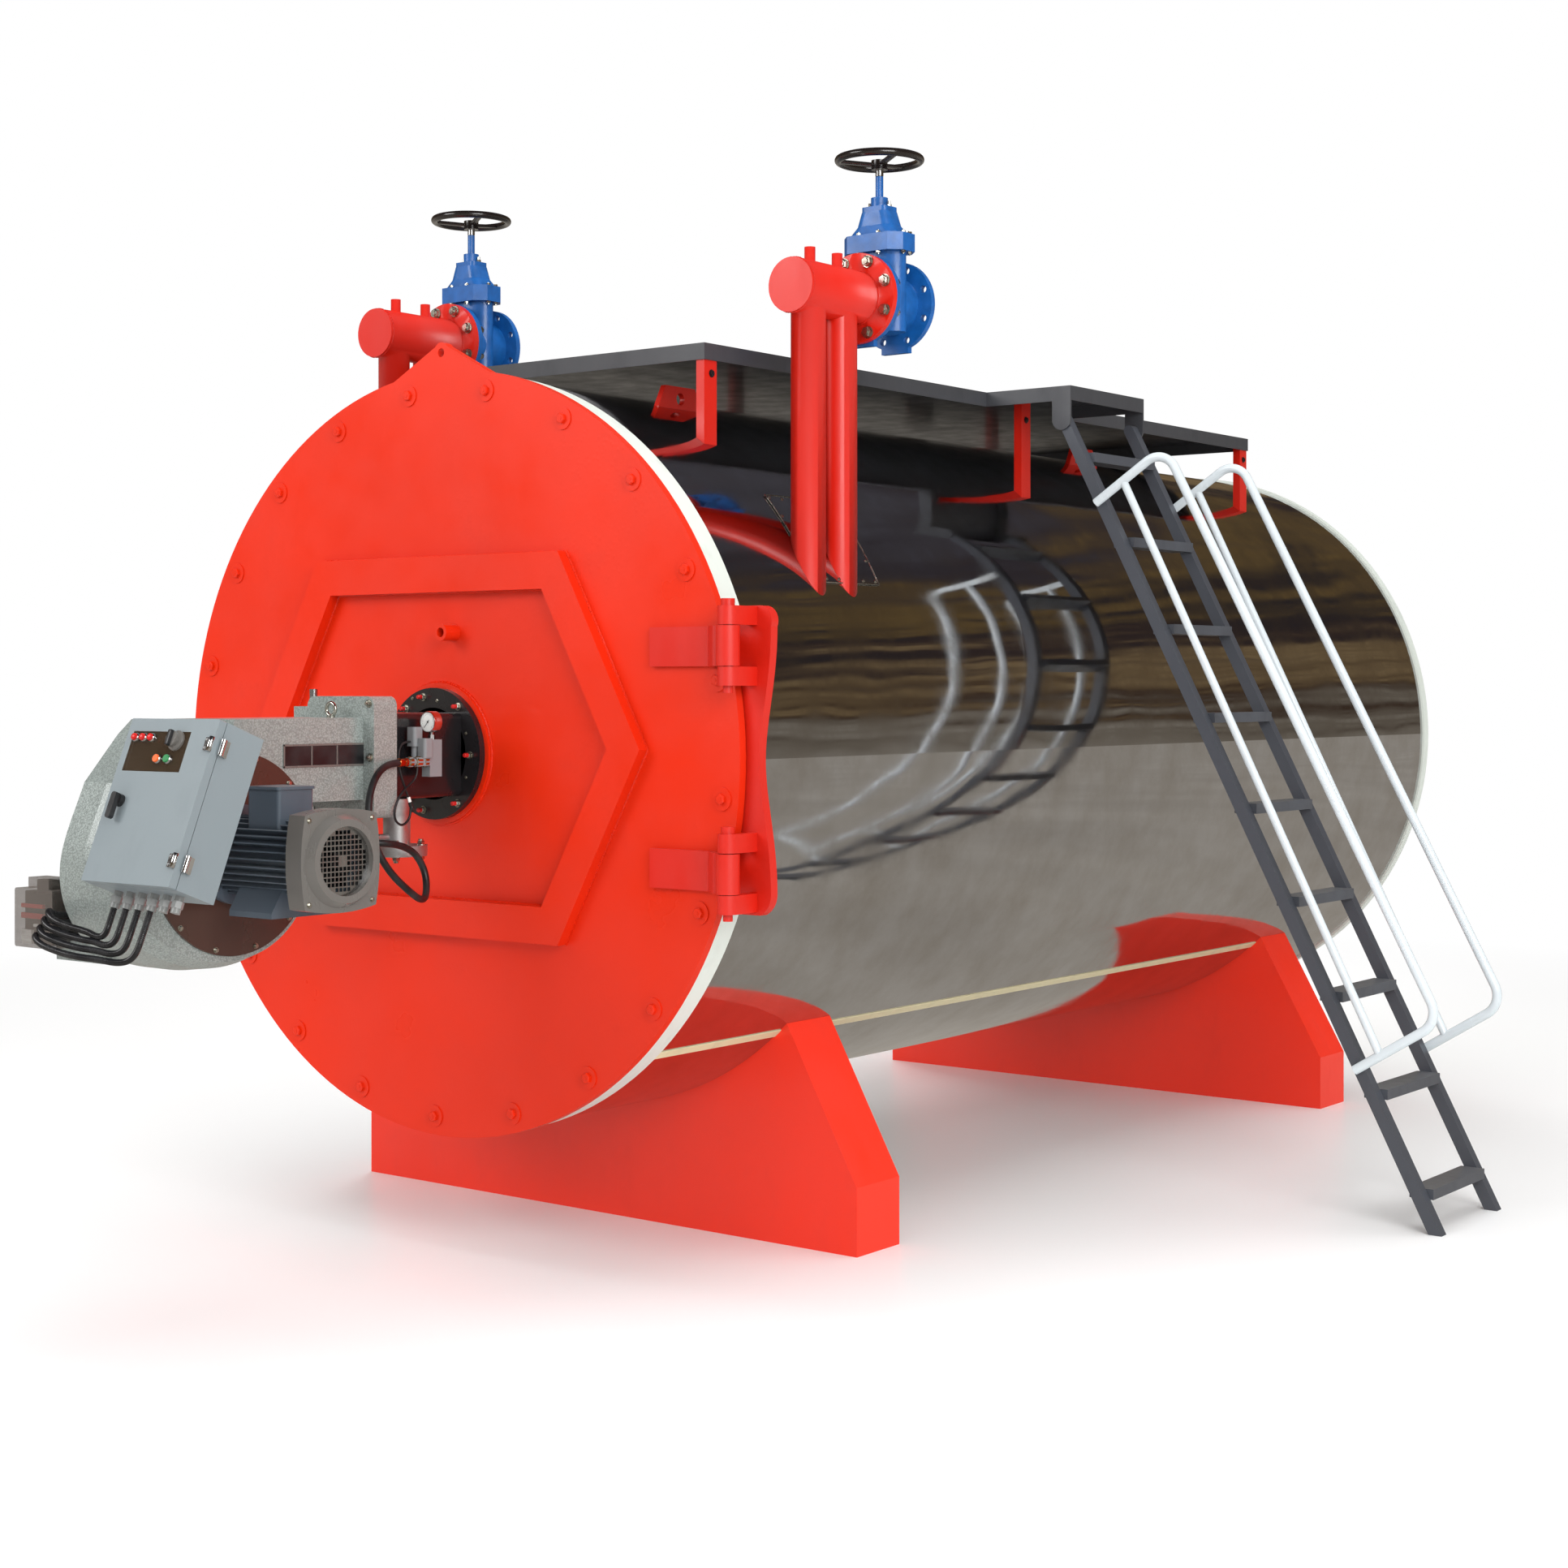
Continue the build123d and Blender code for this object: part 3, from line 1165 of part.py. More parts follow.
with BuildPart() as fan_motor:
    with BuildSketch(side_plane(motor_x, VOLUTE_SETBACK, VOLUTE_DROP)):
        Circle(MOTOR_FLANGE_RADIUS)
    extrude(amount=MOTOR_FLANGE_THICKNESS)
    with BuildSketch(side_plane(frame_x, VOLUTE_SETBACK, VOLUTE_DROP)):
        Circle(MOTOR_RADIUS)
        with PolarLocations((MOTOR_RADIUS + MOTOR_FIN_RADIUS) / 2 - MOTOR_FIN_THICKNESS, MOTOR_FINS):
            Rectangle(MOTOR_FIN_RADIUS - MOTOR_RADIUS + 2 * MOTOR_FIN_THICKNESS, MOTOR_FIN_THICKNESS)
    extrude(amount=MOTOR_LENGTH)
    with BuildSketch(side_plane(frame_x + MOTOR_LENGTH / 4, VOLUTE_SETBACK, VOLUTE_DROP)):
        with BuildLine():
            Polyline(
                (-MOTOR_FOOT_HALF, -MOTOR_FOOT_HEIGHT),
                (MOTOR_FOOT_HALF, -MOTOR_FOOT_HEIGHT),
                (MOTOR_FOOT_HALF, MOTOR_FOOT_THICKNESS - MOTOR_FOOT_HEIGHT),
                (MOTOR_FOOT_SHOULDER, -MOTOR_FOOT_SHOULDER),
                (-MOTOR_FOOT_SHOULDER, -MOTOR_FOOT_SHOULDER),
                (-MOTOR_FOOT_HALF, MOTOR_FOOT_THICKNESS - MOTOR_FOOT_HEIGHT),
                close=True,
            )
        make_face()
    extrude(amount=MOTOR_LENGTH / 2)
    box_x = frame_x + MOTOR_LENGTH / 2
    with BuildSketch(level_plane(VOLUTE_DROP + MOTOR_FOOT_SHOULDER, box_x, TERMINAL_BOX_SETBACK)):
        RectangleRounded(TERMINAL_BOX[0], TERMINAL_BOX[1], TERMINAL_BOX_CORNER)
    extrude(amount=MOTOR_RADIUS - MOTOR_FOOT_SHOULDER + TERMINAL_BOX[2])
    with BuildSketch(level_plane(VOLUTE_DROP + MOTOR_RADIUS + TERMINAL_BOX[2], box_x, TERMINAL_BOX_SETBACK)):
        RectangleRounded(
            TERMINAL_BOX[0] + TERMINAL_LID,
            TERMINAL_BOX[1] + TERMINAL_LID,
            TERMINAL_BOX_CORNER,
        )
    extrude(amount=-TERMINAL_LID)
    with BuildSketch(side_plane(cowl_x, VOLUTE_SETBACK, VOLUTE_DROP)):
        Circle(MOTOR_SHIELD_RADIUS)
    extrude(amount=-MOTOR_SHIELD_THICKNESS)
    with BuildSketch(side_plane(cowl_x, VOLUTE_SETBACK, VOLUTE_DROP)):
        Circle(SHAFT_RADIUS)
    extrude(amount=SHAFT_LENGTH)
save(fan_motor, "fan_motor")


def cowl_outline(size, bow):
    """Square with sides that bow outwards, centred on the motor's axis."""
    half = size / 2 - bow
    corners = [(-half, -half), (half, -half), (half, half), (-half, half)]
    middles = [(0, -half - bow), (half + bow, 0), (0, half + bow), (-half - bow, 0)]
    for index, middle in enumerate(middles):
        ThreePointArc(corners[index], middle, corners[(index + 1) % 4])


with BuildPart() as motor_cowl:
    with BuildSketch(side_plane(cowl_x, VOLUTE_SETBACK, VOLUTE_DROP)):
        with BuildLine():
            cowl_outline(COWL_SIZE, COWL_BOW)
        make_face()
    extrude(amount=COWL_DEPTH)
    with BuildSketch(side_plane(cowl_x + COWL_DEPTH, VOLUTE_SETBACK, VOLUTE_DROP)):
        Circle(BELL_RADIUS)
    extrude(amount=BELL_DEPTH, taper=30)
    with BuildSketch(side_plane(cowl_x, VOLUTE_SETBACK, VOLUTE_DROP)):
        Circle(BELL_RADIUS - COWL_WALL - 4)
    extrude(amount=COWL_DEPTH, mode=Mode.SUBTRACT)
    with BuildSketch(side_plane(cowl_x + COWL_DEPTH, VOLUTE_SETBACK, VOLUTE_DROP)):
        Circle(GRILLE_RADIUS)
    extrude(amount=BELL_DEPTH, mode=Mode.SUBTRACT)
save(motor_cowl, "motor_cowl")

with BuildPart() as fan_grille:
    with BuildSketch(side_plane(cowl_x + COWL_DEPTH + 4, VOLUTE_SETBACK, VOLUTE_DROP)):
        Circle(GRILLE_RADIUS)
        count = int(2 * GRILLE_RADIUS / GRILLE_PITCH) - 1
        holes = [
            ((column - (count - 1) / 2) * GRILLE_PITCH, (row - (count - 1) / 2) * GRILLE_PITCH)
            for column in range(count)
            for row in range(count)
        ]
        reach = GRILLE_RADIUS - GRILLE_PITCH * 0.7
        open_holes = [hole for hole in holes if FAN_HUB_RADIUS / 2 < math.hypot(*hole) < reach]
        with Locations(*open_holes):
            Rectangle(GRILLE_HOLE, GRILLE_HOLE, mode=Mode.SUBTRACT)
    extrude(amount=GRILLE_THICKNESS)
save(fan_grille, "fan_grille")

with BuildPart() as motor_fan:
    with BuildSketch(side_plane(cowl_x + FAN_START, VOLUTE_SETBACK, VOLUTE_DROP)):
        Circle(FAN_HUB_RADIUS)
    extrude(amount=FAN_HUB_LENGTH)
    with BuildSketch(side_plane(cowl_x + FAN_START, VOLUTE_SETBACK, VOLUTE_DROP)):
        Circle(FAN_RADIUS)
    extrude(amount=FAN_DISC)
    with BuildSketch(side_plane(cowl_x + FAN_START, VOLUTE_SETBACK, VOLUTE_DROP)):
        with PolarLocations(FAN_RADIUS / 2 + FAN_BLADE / 2, FAN_BLADES):
            Rectangle(FAN_RADIUS - FAN_BLADE, FAN_BLADE)
    extrude(amount=FAN_DEPTH)
    with BuildSketch(side_plane(cowl_x, VOLUTE_SETBACK, VOLUTE_DROP)):
        Circle(SHAFT_RADIUS + RUNNING_GAP)
    extrude(amount=SHAFT_LENGTH + FAN_START, mode=Mode.SUBTRACT)
save(motor_fan, "motor_fan")

# Control cabinet: tilted back, with a hinged door
tilt = math.radians(CABINET_TILT)
cabinet_down = Vector(0, -math.sin(tilt), -math.cos(tilt))
cabinet_back = Vector(0, math.cos(tilt), -math.sin(tilt))
cabinet_corner = Vector(CABINET_RIGHT - CABINET_WIDTH, front + CABINET_TOP_SETBACK, axis + CABINET_TOP_HEIGHT)
cabinet_centre = cabinet_corner + cabinet_down * (CABINET_HEIGHT / 2) + Vector(CABINET_WIDTH / 2, 0, 0)


def cabinet_plane(depth):
    """Sketch plane parallel to the cabinet's face, at a depth behind it."""
    return Plane(origin=cabinet_centre + cabinet_back * depth, x_dir=(1, 0, 0), z_dir=cabinet_back * -1)


cabinet_box_depth = CABINET_DOOR_THICKNESS + CABINET_DOOR_GAP
with BuildPart() as control_cabinet:
    with BuildSketch(cabinet_plane(cabinet_box_depth)):
        Rectangle(CABINET_WIDTH, CABINET_HEIGHT)
    extrude(amount=-CABINET_DEPTH)
    with BuildSketch(cabinet_plane(cabinet_box_depth)):
        Rectangle(CABINET_WIDTH - 2 * CABINET_WALL, CABINET_HEIGHT - 2 * CABINET_WALL)
    extrude(amount=-(CABINET_DEPTH - CABINET_WALL), mode=Mode.SUBTRACT)
    with BuildSketch(cabinet_plane(cabinet_box_depth + CABINET_DEPTH - CABINET_WALL - PANEL_THICKNESS)):
        Rectangle(CABINET_WIDTH - 2 * PANEL_MARGIN, CABINET_HEIGHT - 2 * PANEL_MARGIN)
    extrude(amount=-PANEL_THICKNESS)
save(control_cabinet, "control_cabinet")

window_centre = (WINDOW_X, WINDOW_HEIGHT)
with BuildPart() as cabinet_door:
    with BuildSketch(cabinet_plane(CABINET_DOOR_THICKNESS)):
        RectangleRounded(CABINET_WIDTH, CABINET_HEIGHT, CABINET_EDGE)
    extrude(amount=CABINET_DOOR_THICKNESS)
    with BuildSketch(cabinet_plane(CABINET_DOOR_THICKNESS)):
        RectangleRounded(CABINET_WIDTH - 2 * CABINET_WALL, CABINET_HEIGHT - 2 * CABINET_WALL, CABINET_EDGE)
    extrude(amount=CABINET_DOOR_THICKNESS - CABINET_WALL, mode=Mode.SUBTRACT)
    with BuildSketch(cabinet_plane(0)):
        with Locations(window_centre):
            Rectangle(WINDOW_WIDTH, WINDOW_TALL)
        with Locations(HANDLE_PLACE):
            Circle(HANDLE_STEM_RADIUS + RUNNING_GAP)
    extrude(amount=-CABINET_DOOR_THICKNESS, mode=Mode.SUBTRACT)
save(cabinet_door, "cabinet_door")

with BuildPart() as cabinet_window:
    with BuildSketch(cabinet_plane(CABINET_WALL)):
        with Locations(window_centre):
            Rectangle(WINDOW_WIDTH, WINDOW_TALL)
    extrude(amount=CABINET_WALL)
    with BuildSketch(cabinet_plane(CABINET_WALL)):
        with Locations(window_centre):
            Rectangle(WINDOW_WIDTH + 16, WINDOW_TALL + 16)
    extrude(amount=-CABINET_WALL)
save(cabinet_window, "cabinet_window")

with BuildPart() as cabinet_controls:
    for spot, spot_radius, spot_reach in CONTROLS:
        with BuildSketch(cabinet_plane(0)):
            with Locations((WINDOW_X + spot[0], WINDOW_HEIGHT + spot[1])):
                Circle(spot_radius)
        extrude(amount=spot_reach)
save(cabinet_controls, "cabinet_controls")

with BuildPart() as cabinet_handle:
    with BuildSketch(cabinet_plane(-RUNNING_GAP)):
        with Locations(HANDLE_PLACE):
            Circle(HANDLE_BASE_RADIUS)
    extrude(amount=HANDLE_BASE)
    with BuildSketch(cabinet_plane(-RUNNING_GAP - HANDLE_BASE)):
        with Locations((HANDLE_PLACE[0], HANDLE_PLACE[1] - HANDLE_LENGTH / 2 + HANDLE_BASE_RADIUS)):
            RectangleRounded(HANDLE_WIDTH, HANDLE_LENGTH, HANDLE_WIDTH * 0.4)
    extrude(amount=HANDLE_THICKNESS)
    with BuildSketch(cabinet_plane(-RUNNING_GAP)):
        with Locations(HANDLE_PLACE):
            Circle(HANDLE_STEM_RADIUS)
    extrude(amount=-(CABINET_WALL + 6))
save(cabinet_handle, "cabinet_handle")

with BuildPart() as cabinet_hinges:
    for height in (CABINET_HINGE_SPAN / 2, -CABINET_HINGE_SPAN / 2):
        hinge_middle = cabinet_centre + Vector(CABINET_WIDTH / 2, 0, 0) - cabinet_down * height
        with BuildSketch(
            Plane(
                origin=hinge_middle + cabinet_back * cabinet_box_depth + cabinet_down * (CABINET_HINGE_HEIGHT / 2),
                x_dir=(1, 0, 0),
                z_dir=cabinet_down * -1,
            )
        ):
            with Locations((CABINET_HINGE_PIN, 0)):
                Circle(CABINET_HINGE_PIN)
        extrude(amount=CABINET_HINGE_HEIGHT)
        with BuildSketch(
            Plane(
                origin=hinge_middle + cabinet_back * cabinet_box_depth + cabinet_down * (CABINET_HINGE_HEIGHT / 2),
                x_dir=(1, 0, 0),
                z_dir=cabinet_down * -1,
            )
        ):
            with Locations((CABINET_HINGE_PIN / 2, CABINET_HINGE_LEAF / 2)):
                Rectangle(CABINET_HINGE_PIN, CABINET_HINGE_LEAF)
        extrude(amount=CABINET_HINGE_HEIGHT)
save(cabinet_hinges, "cabinet_hinges")

gland_faces = [
    cabinet_centre
    + cabinet_down * (CABINET_HEIGHT / 2)
    + cabinet_back * (cabinet_box_depth + CABINET_DEPTH / 2)
    + Vector((index - (GLAND_COUNT - 1) / 2) * GLAND_SPACING + GLAND_OFFSET, 0, 0)
    for index in range(GLAND_COUNT)
]
gland_length = CABLE_GLAND_NECK[1] + CABLE_GLAND_NUT + CABLE_GLAND_CAP[1]
with BuildPart() as cable_glands:
    for gland_origin in gland_faces:
        with BuildSketch(Plane(origin=gland_origin, x_dir=(1, 0, 0), z_dir=cabinet_down)):
            Circle(CABLE_GLAND_NECK[0])
        extrude(amount=gland_length)
        nut_origin = gland_origin + cabinet_down * CABLE_GLAND_NECK[1]
        with BuildSketch(Plane(origin=nut_origin, x_dir=(1, 0, 0), z_dir=cabinet_down)):
            RegularPolygon(CABLE_GLAND_RADIUS, 6)
        extrude(amount=CABLE_GLAND_NUT)
        with BuildSketch(Plane(origin=nut_origin, x_dir=(1, 0, 0), z_dir=cabinet_down)):
            Circle(CABLE_GLAND_CAP[0])
        extrude(amount=CABLE_GLAND_NUT + CABLE_GLAND_CAP[1])
save(cable_glands, "cable_glands")

# Bracket between the volute's side and the cabinet's back
with BuildPart() as cabinet_bracket:
    bracket_back = cabinet_box_depth + CABINET_DEPTH
    with BuildSketch(cabinet_plane(bracket_back)):
        with Locations((VOLUTE_HALF_WIDTH - cabinet_centre.X, 0)):
            Rectangle(CABINET_WIDTH * 0.8, CABINET_HEIGHT * 0.5, align=(Align.MIN, Align.CENTER))
    extrude(amount=-BRACKET_SHEET)
    with BuildSketch(cabinet_plane(bracket_back + BRACKET_SHEET)):
        with Locations((VOLUTE_HALF_WIDTH - cabinet_centre.X, 0)):
            Rectangle(COVER_DISC_THICKNESS, CABINET_HEIGHT * 0.5, align=(Align.MIN, Align.CENTER))
    extrude(amount=-BRACKET_ARM)
    with BuildSketch(side_plane(VOLUTE_HALF_WIDTH - 1, VOLUTE_SETBACK, VOLUTE_DROP)):
        Circle(COVER_DISC_RADIUS + 1)
    extrude(amount=COVER_DISC_THICKNESS + 2, mode=Mode.SUBTRACT)
save(cabinet_bracket, "cabinet_bracket")

# Gas inlet under the neck, with a flange pair, and the small valve train on the neck's side
with BuildPart() as gas_inlet:
    with BuildSketch(level_plane(-NECK_HALF_HEIGHT, GAS_X, GAS_SETBACK)):
        Circle(GAS_RADIUS)
    extrude(amount=-GAS_DROP)
    with BuildSketch(front_plane(GAS_SETBACK, TAP_HEIGHT, GAS_X)):
        Circle(TAP_RADIUS)
    extrude(amount=TAP_REACH)
    with BuildSketch(front_plane(GAS_SETBACK - TAP_REACH + TAP_NUT_LENGTH, TAP_HEIGHT, GAS_X)):
        RegularPolygon(TAP_NUT_RADIUS, 6)
    extrude(amount=TAP_NUT_LENGTH)
    with BuildSketch(level_plane(-NECK_HALF_HEIGHT - GAS_DROP, GAS_X, GAS_SETBACK)):
        Circle(GAS_FLANGE_RADIUS)
        with PolarLocations(GAS_BOLT_CIRCLE / 2, GAS_BOLTS, start_angle=180 / GAS_BOLTS):
            Circle(GAS_HOLE_RADIUS, mode=Mode.SUBTRACT)
    extrude(amount=-2 * GAS_FLANGE_THICKNESS)
    with BuildSketch(level_plane(-NECK_HALF_HEIGHT - GAS_DROP - 2 * GAS_FLANGE_THICKNESS, GAS_X, GAS_SETBACK)):
        Circle(GAS_BORE)
    extrude(amount=GAS_DROP, mode=Mode.SUBTRACT)
save(gas_inlet, "gas_inlet")

with BuildPart() as pilot_valves:
    block_x = PILOT_X - PILOT_BLOCK[0] / 2
    block_front = PILOT_SETBACK - PILOT_BLOCK[1] / 2
    with BuildSketch(side_plane(NECK_HALF_WIDTH, PILOT_SETBACK, PILOT_HEIGHT)):
        Circle(PILOT_PIPE_RADIUS)
    extrude(amount=block_x - NECK_HALF_WIDTH)
    with BuildSketch(side_plane(block_x, PILOT_SETBACK, PILOT_HEIGHT)):
        Rectangle(PILOT_BLOCK[1], PILOT_BLOCK[2])
    extrude(amount=PILOT_BLOCK[0])
    with BuildSketch(front_plane(block_front, PILOT_LINE_HEIGHT, PILOT_LINE_X)):
        Circle(PILOT_LINE_RADIUS)
    extrude(amount=PILOT_LINE_LENGTH)
    with BuildSketch(front_plane(block_front, PILOT_LINE_HEIGHT, (COIL_XS[0] + COIL_XS[1]) / 2)):
        Rectangle(PILOT_MANIFOLD[0], PILOT_MANIFOLD[1])
    extrude(amount=PILOT_MANIFOLD[2])
    for nut_start, nut_length in PILOT_NUTS:
        with BuildSketch(front_plane(block_front - nut_start, PILOT_LINE_HEIGHT, PILOT_LINE_X)):
            RegularPolygon(PILOT_NUT_RADIUS, 6)
        extrude(amount=nut_length)
    for coil_x, coil_setback, coil_height in zip(COIL_XS, COIL_SETBACKS, COIL_HEIGHTS):
        with BuildSketch(level_plane(PILOT_LINE_HEIGHT, coil_x, coil_setback)):
            Circle(PILOT_LINE_RADIUS)
        extrude(amount=COIL_HEIGHT)
        with BuildSketch(level_plane(coil_height, coil_x, coil_setback)):
            RectangleRounded(2 * COIL_RADIUS, 2 * COIL_RADIUS, COIL_RADIUS / 2)
        extrude(amount=COIL_HEIGHT)
save(pilot_valves, "pilot_valves")

with BuildPart() as pressure_gauge:
    block_top = PILOT_HEIGHT + PILOT_BLOCK[2] / 2
    with BuildSketch(level_plane(block_top, PILOT_X, GAUGE_SETBACK)):
        Circle(GAUGE_STEM_RADIUS)
    extrude(amount=GAUGE_CENTRE_HEIGHT - block_top)
    with BuildSketch(level_plane(block_top, PILOT_X, GAUGE_SETBACK)):
        RegularPolygon(GAUGE_NUT_RADIUS, 6)
    extrude(amount=GAUGE_NUT_HEIGHT)
    with BuildSketch(front_plane(GAUGE_SETBACK + GAUGE_DEPTH / 2, GAUGE_CENTRE_HEIGHT, PILOT_X)):
        Circle(GAUGE_RADIUS)
    extrude(amount=GAUGE_DEPTH)
save(pressure_gauge, "pressure_gauge")

with BuildPart() as pressure_switch:
    switch_middle = (SWITCH_LEFT + SWITCH_RIGHT) / 2
    with BuildSketch(front_plane(DAMPER_BOX_FRONT, (SWITCH_TOP + SWITCH_BOTTOM) / 2, switch_middle)):
        RectangleRounded(SWITCH_RIGHT - SWITCH_LEFT, SWITCH_TOP - SWITCH_BOTTOM, SWITCH_CORNER)
    extrude(amount=SWITCH_DEPTH)
    with BuildSketch(front_plane(DAMPER_BOX_FRONT, SWITCH_TOP, (SWITCH_CAP[0] + SWITCH_CAP[1]) / 2)):
        Rectangle(SWITCH_CAP[1] - SWITCH_CAP[0], 2 * SWITCH_CAP[2])
    extrude(amount=SWITCH_DEPTH)
save(pressure_switch, "pressure_switch")

with BuildPart() as burner_pin:
    with BuildSketch(level_plane(HINGE_BLOCK_TOP - HINGE_BLOCK_HEIGHT - PIN_STAND, HINGE_PIN_BURNER_X, plate_end)):
        Circle(HINGE_PIN_BURNER_RADIUS)
    extrude(amount=HINGE_BLOCK_HEIGHT + PIN_STAND + HINGE_PIN_BURNER_RISE)
    with BuildSketch(level_plane(HINGE_BLOCK_TOP, HINGE_PIN_BURNER_X, plate_end)):
        Circle(HINGE_PIN_BURNER_RADIUS + HINGE_PIN_COLLAR)
    extrude(amount=HINGE_PIN_COLLAR)
save(burner_pin, "burner_pin")


def free_cord(name, points, diameter):
    """Limp cord through points in mm, its corners rounded as far as the runs allow."""
    corners = [Vector(*point) for point in points]
    radii = []
    for before, corner, after in zip(corners, corners[1:], corners[2:]):
        run_in, run_out = corner - before, after - corner
        half_turn = math.radians(run_in.get_angle(run_out)) / 2
        radii.append(CORD_SHARE * min(run_in.length, run_out.length) / math.tan(half_turn))
    with BuildPart() as cord:
        with BuildLine() as course:
            FilletPolyline(*corners, radius=radii)
        with BuildSketch(Plane(origin=corners[0], z_dir=corners[1] - corners[0])):
            Circle(diameter / 2)
        sweep(path=course.wires()[0])
    length = course.wires()[0].length
    filled = cord.part.volume / (length * math.pi * diameter**2 / 4)
    print(name, "length", round(length), "smallest bend", round(min(radii)), "volume share", round(filled, 4))
    print(name, [(round(c.X, 1), round(c.Y, 1), round(c.Z, 1)) for c in corners])
    save(cord, name)


def placed(x, setback, height):
    """Point of the shared frame, from its setback behind the door and height above the axis."""
    return (x, front + setback, axis + height)


line_end = PILOT_SETBACK - PILOT_BLOCK[1] / 2 - PILOT_LINE_LENGTH
hose_points = [placed(PILOT_LINE_X, line_end, PILOT_LINE_HEIGHT)]
hose_points += [placed(*point) for point in HOSE_COURSE]
hose_points.append(placed(GAS_X, GAS_SETBACK - TAP_REACH, TAP_HEIGHT))
free_cord("main_hose", hose_points, HOSE_DIAMETER)

lead_nut = PILOT_NUTS[LEAD_NUT]
lead_end = PILOT_SETBACK - PILOT_BLOCK[1] / 2 - lead_nut[0] - lead_nut[1] / 2
nut_flat = PILOT_LINE_HEIGHT - PILOT_NUT_RADIUS * math.cos(math.pi / 6)
lead_points = [placed(*LEAD_START)]
lead_points += [placed(*point) for point in LEAD_COURSE]
lead_points.append(placed(PILOT_LINE_X, lead_end, nut_flat - LEAD_LAST_RUN))
lead_points.append(placed(PILOT_LINE_X, lead_end, nut_flat))
free_cord("pilot_lead", lead_points, LEAD_DIAMETER)

for index in range(CONDUIT_COUNT):
    run = CONDUIT_RUN + CONDUIT_RUN_STEP * index
    gland_end = gland_faces[index] + cabinet_down * gland_length
    conduit_points = [gland_end, gland_end + cabinet_down * run]
    for turn in (30, 60):
        across = Vector(-math.sin(math.radians(turn)), 0, -math.cos(math.radians(turn)))
        conduit_points.append(conduit_points[-1] + across * run)
    low = conduit_points[-1].Z - axis
    way_setback = CONDUIT_SETBACK + CONDUIT_SETBACK_STEP * index
    first = Vector(*placed(CONDUIT_WAY[0][0], way_setback + CONDUIT_WAY[0][1], low + CONDUIT_WAY[0][2]))
    if index:
        conduit_points.append((conduit_points[-1] + first) * 0.5 - Vector(0, 0, index + 2))
    conduit_points += [placed(x, way_setback + back, low + rise) for x, back, rise in CONDUIT_WAY]
    end_x = CONDUIT_END_X + CONDUIT_END_STEP * index
    conduit_points.append(placed(end_x, DAMPER_BOX_FRONT - CONDUIT_LAST_RUN, low + CONDUIT_RISE))
    conduit_points.append(placed(end_x, DAMPER_BOX_FRONT, low + CONDUIT_RISE))
    free_cord(f"gland_conduit_{index + 1}", conduit_points, CONDUIT_DIAMETER)
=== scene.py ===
"""Finishes, cords, fasteners and small fittings of a horizontal fire-tube boiler.

Metres, in the frame of the model: +X to the ladder, +Y from the door to the flue, +Z up.
Places given to at() and on_cabinet() are in millimetres.
"""
import math

import bmesh
import bpy
from mathutils import Matrix, Vector


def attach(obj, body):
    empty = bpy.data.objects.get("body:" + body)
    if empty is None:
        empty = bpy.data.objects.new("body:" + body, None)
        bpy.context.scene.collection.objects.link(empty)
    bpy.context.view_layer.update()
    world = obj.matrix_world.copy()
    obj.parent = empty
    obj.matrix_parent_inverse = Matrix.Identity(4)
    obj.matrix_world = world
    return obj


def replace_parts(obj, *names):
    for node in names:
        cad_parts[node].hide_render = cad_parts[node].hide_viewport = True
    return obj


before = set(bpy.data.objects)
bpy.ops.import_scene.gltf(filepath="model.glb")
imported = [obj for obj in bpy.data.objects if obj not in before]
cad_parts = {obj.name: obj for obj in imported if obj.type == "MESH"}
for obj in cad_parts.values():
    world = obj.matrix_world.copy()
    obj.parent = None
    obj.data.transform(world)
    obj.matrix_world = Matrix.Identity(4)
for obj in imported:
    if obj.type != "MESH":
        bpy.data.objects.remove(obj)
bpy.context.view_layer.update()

# Places that the fittings share, in metres
AXIS = 1.56
FRONT = -0.832
MOTOR_AXIS = Vector((0.0, FRONT - 0.93, AXIS - 0.259))
TILT = math.radians(21.4)
CABINET_CENTRE = Vector((0.332, -2.20583, 1.47365))
CABINET_UP = Vector((0, math.sin(TILT), math.cos(TILT)))
CABINET_OUT = Vector((0, -math.cos(TILT), math.sin(TILT)))

# Top headers, in millimetres: side, distance from the middle, setback against the right one
HEADER_PLACES = (("right", 1026, 0), ("left", -720, -75))
HEADER_HEIGHT = 1430
HEADER_END = 463
VALVE_SETBACK = 931


# Shader writing
class Shade:
    """A shader socket on which numbers can be worked out with the usual signs."""

    def __init__(self, paint, socket):
        self.paint = paint
        self.socket = socket

    def _math(self, operation, first, second):
        return self.paint.node("ShaderNodeMath", {"operation": operation}, {0: first, 1: second})

    def __add__(self, other):
        return self._math("ADD", self, other)

    def __radd__(self, other):
        return self._math("ADD", other, self)

    def __sub__(self, other):
        return self._math("SUBTRACT", self, other)

    def __rsub__(self, other):
        return self._math("SUBTRACT", other, self)

    def __mul__(self, other):
        return self._math("MULTIPLY", self, other)

    def __rmul__(self, other):
        return self._math("MULTIPLY", other, self)

    def __pow__(self, other):
        return self._math("POWER", self, other)


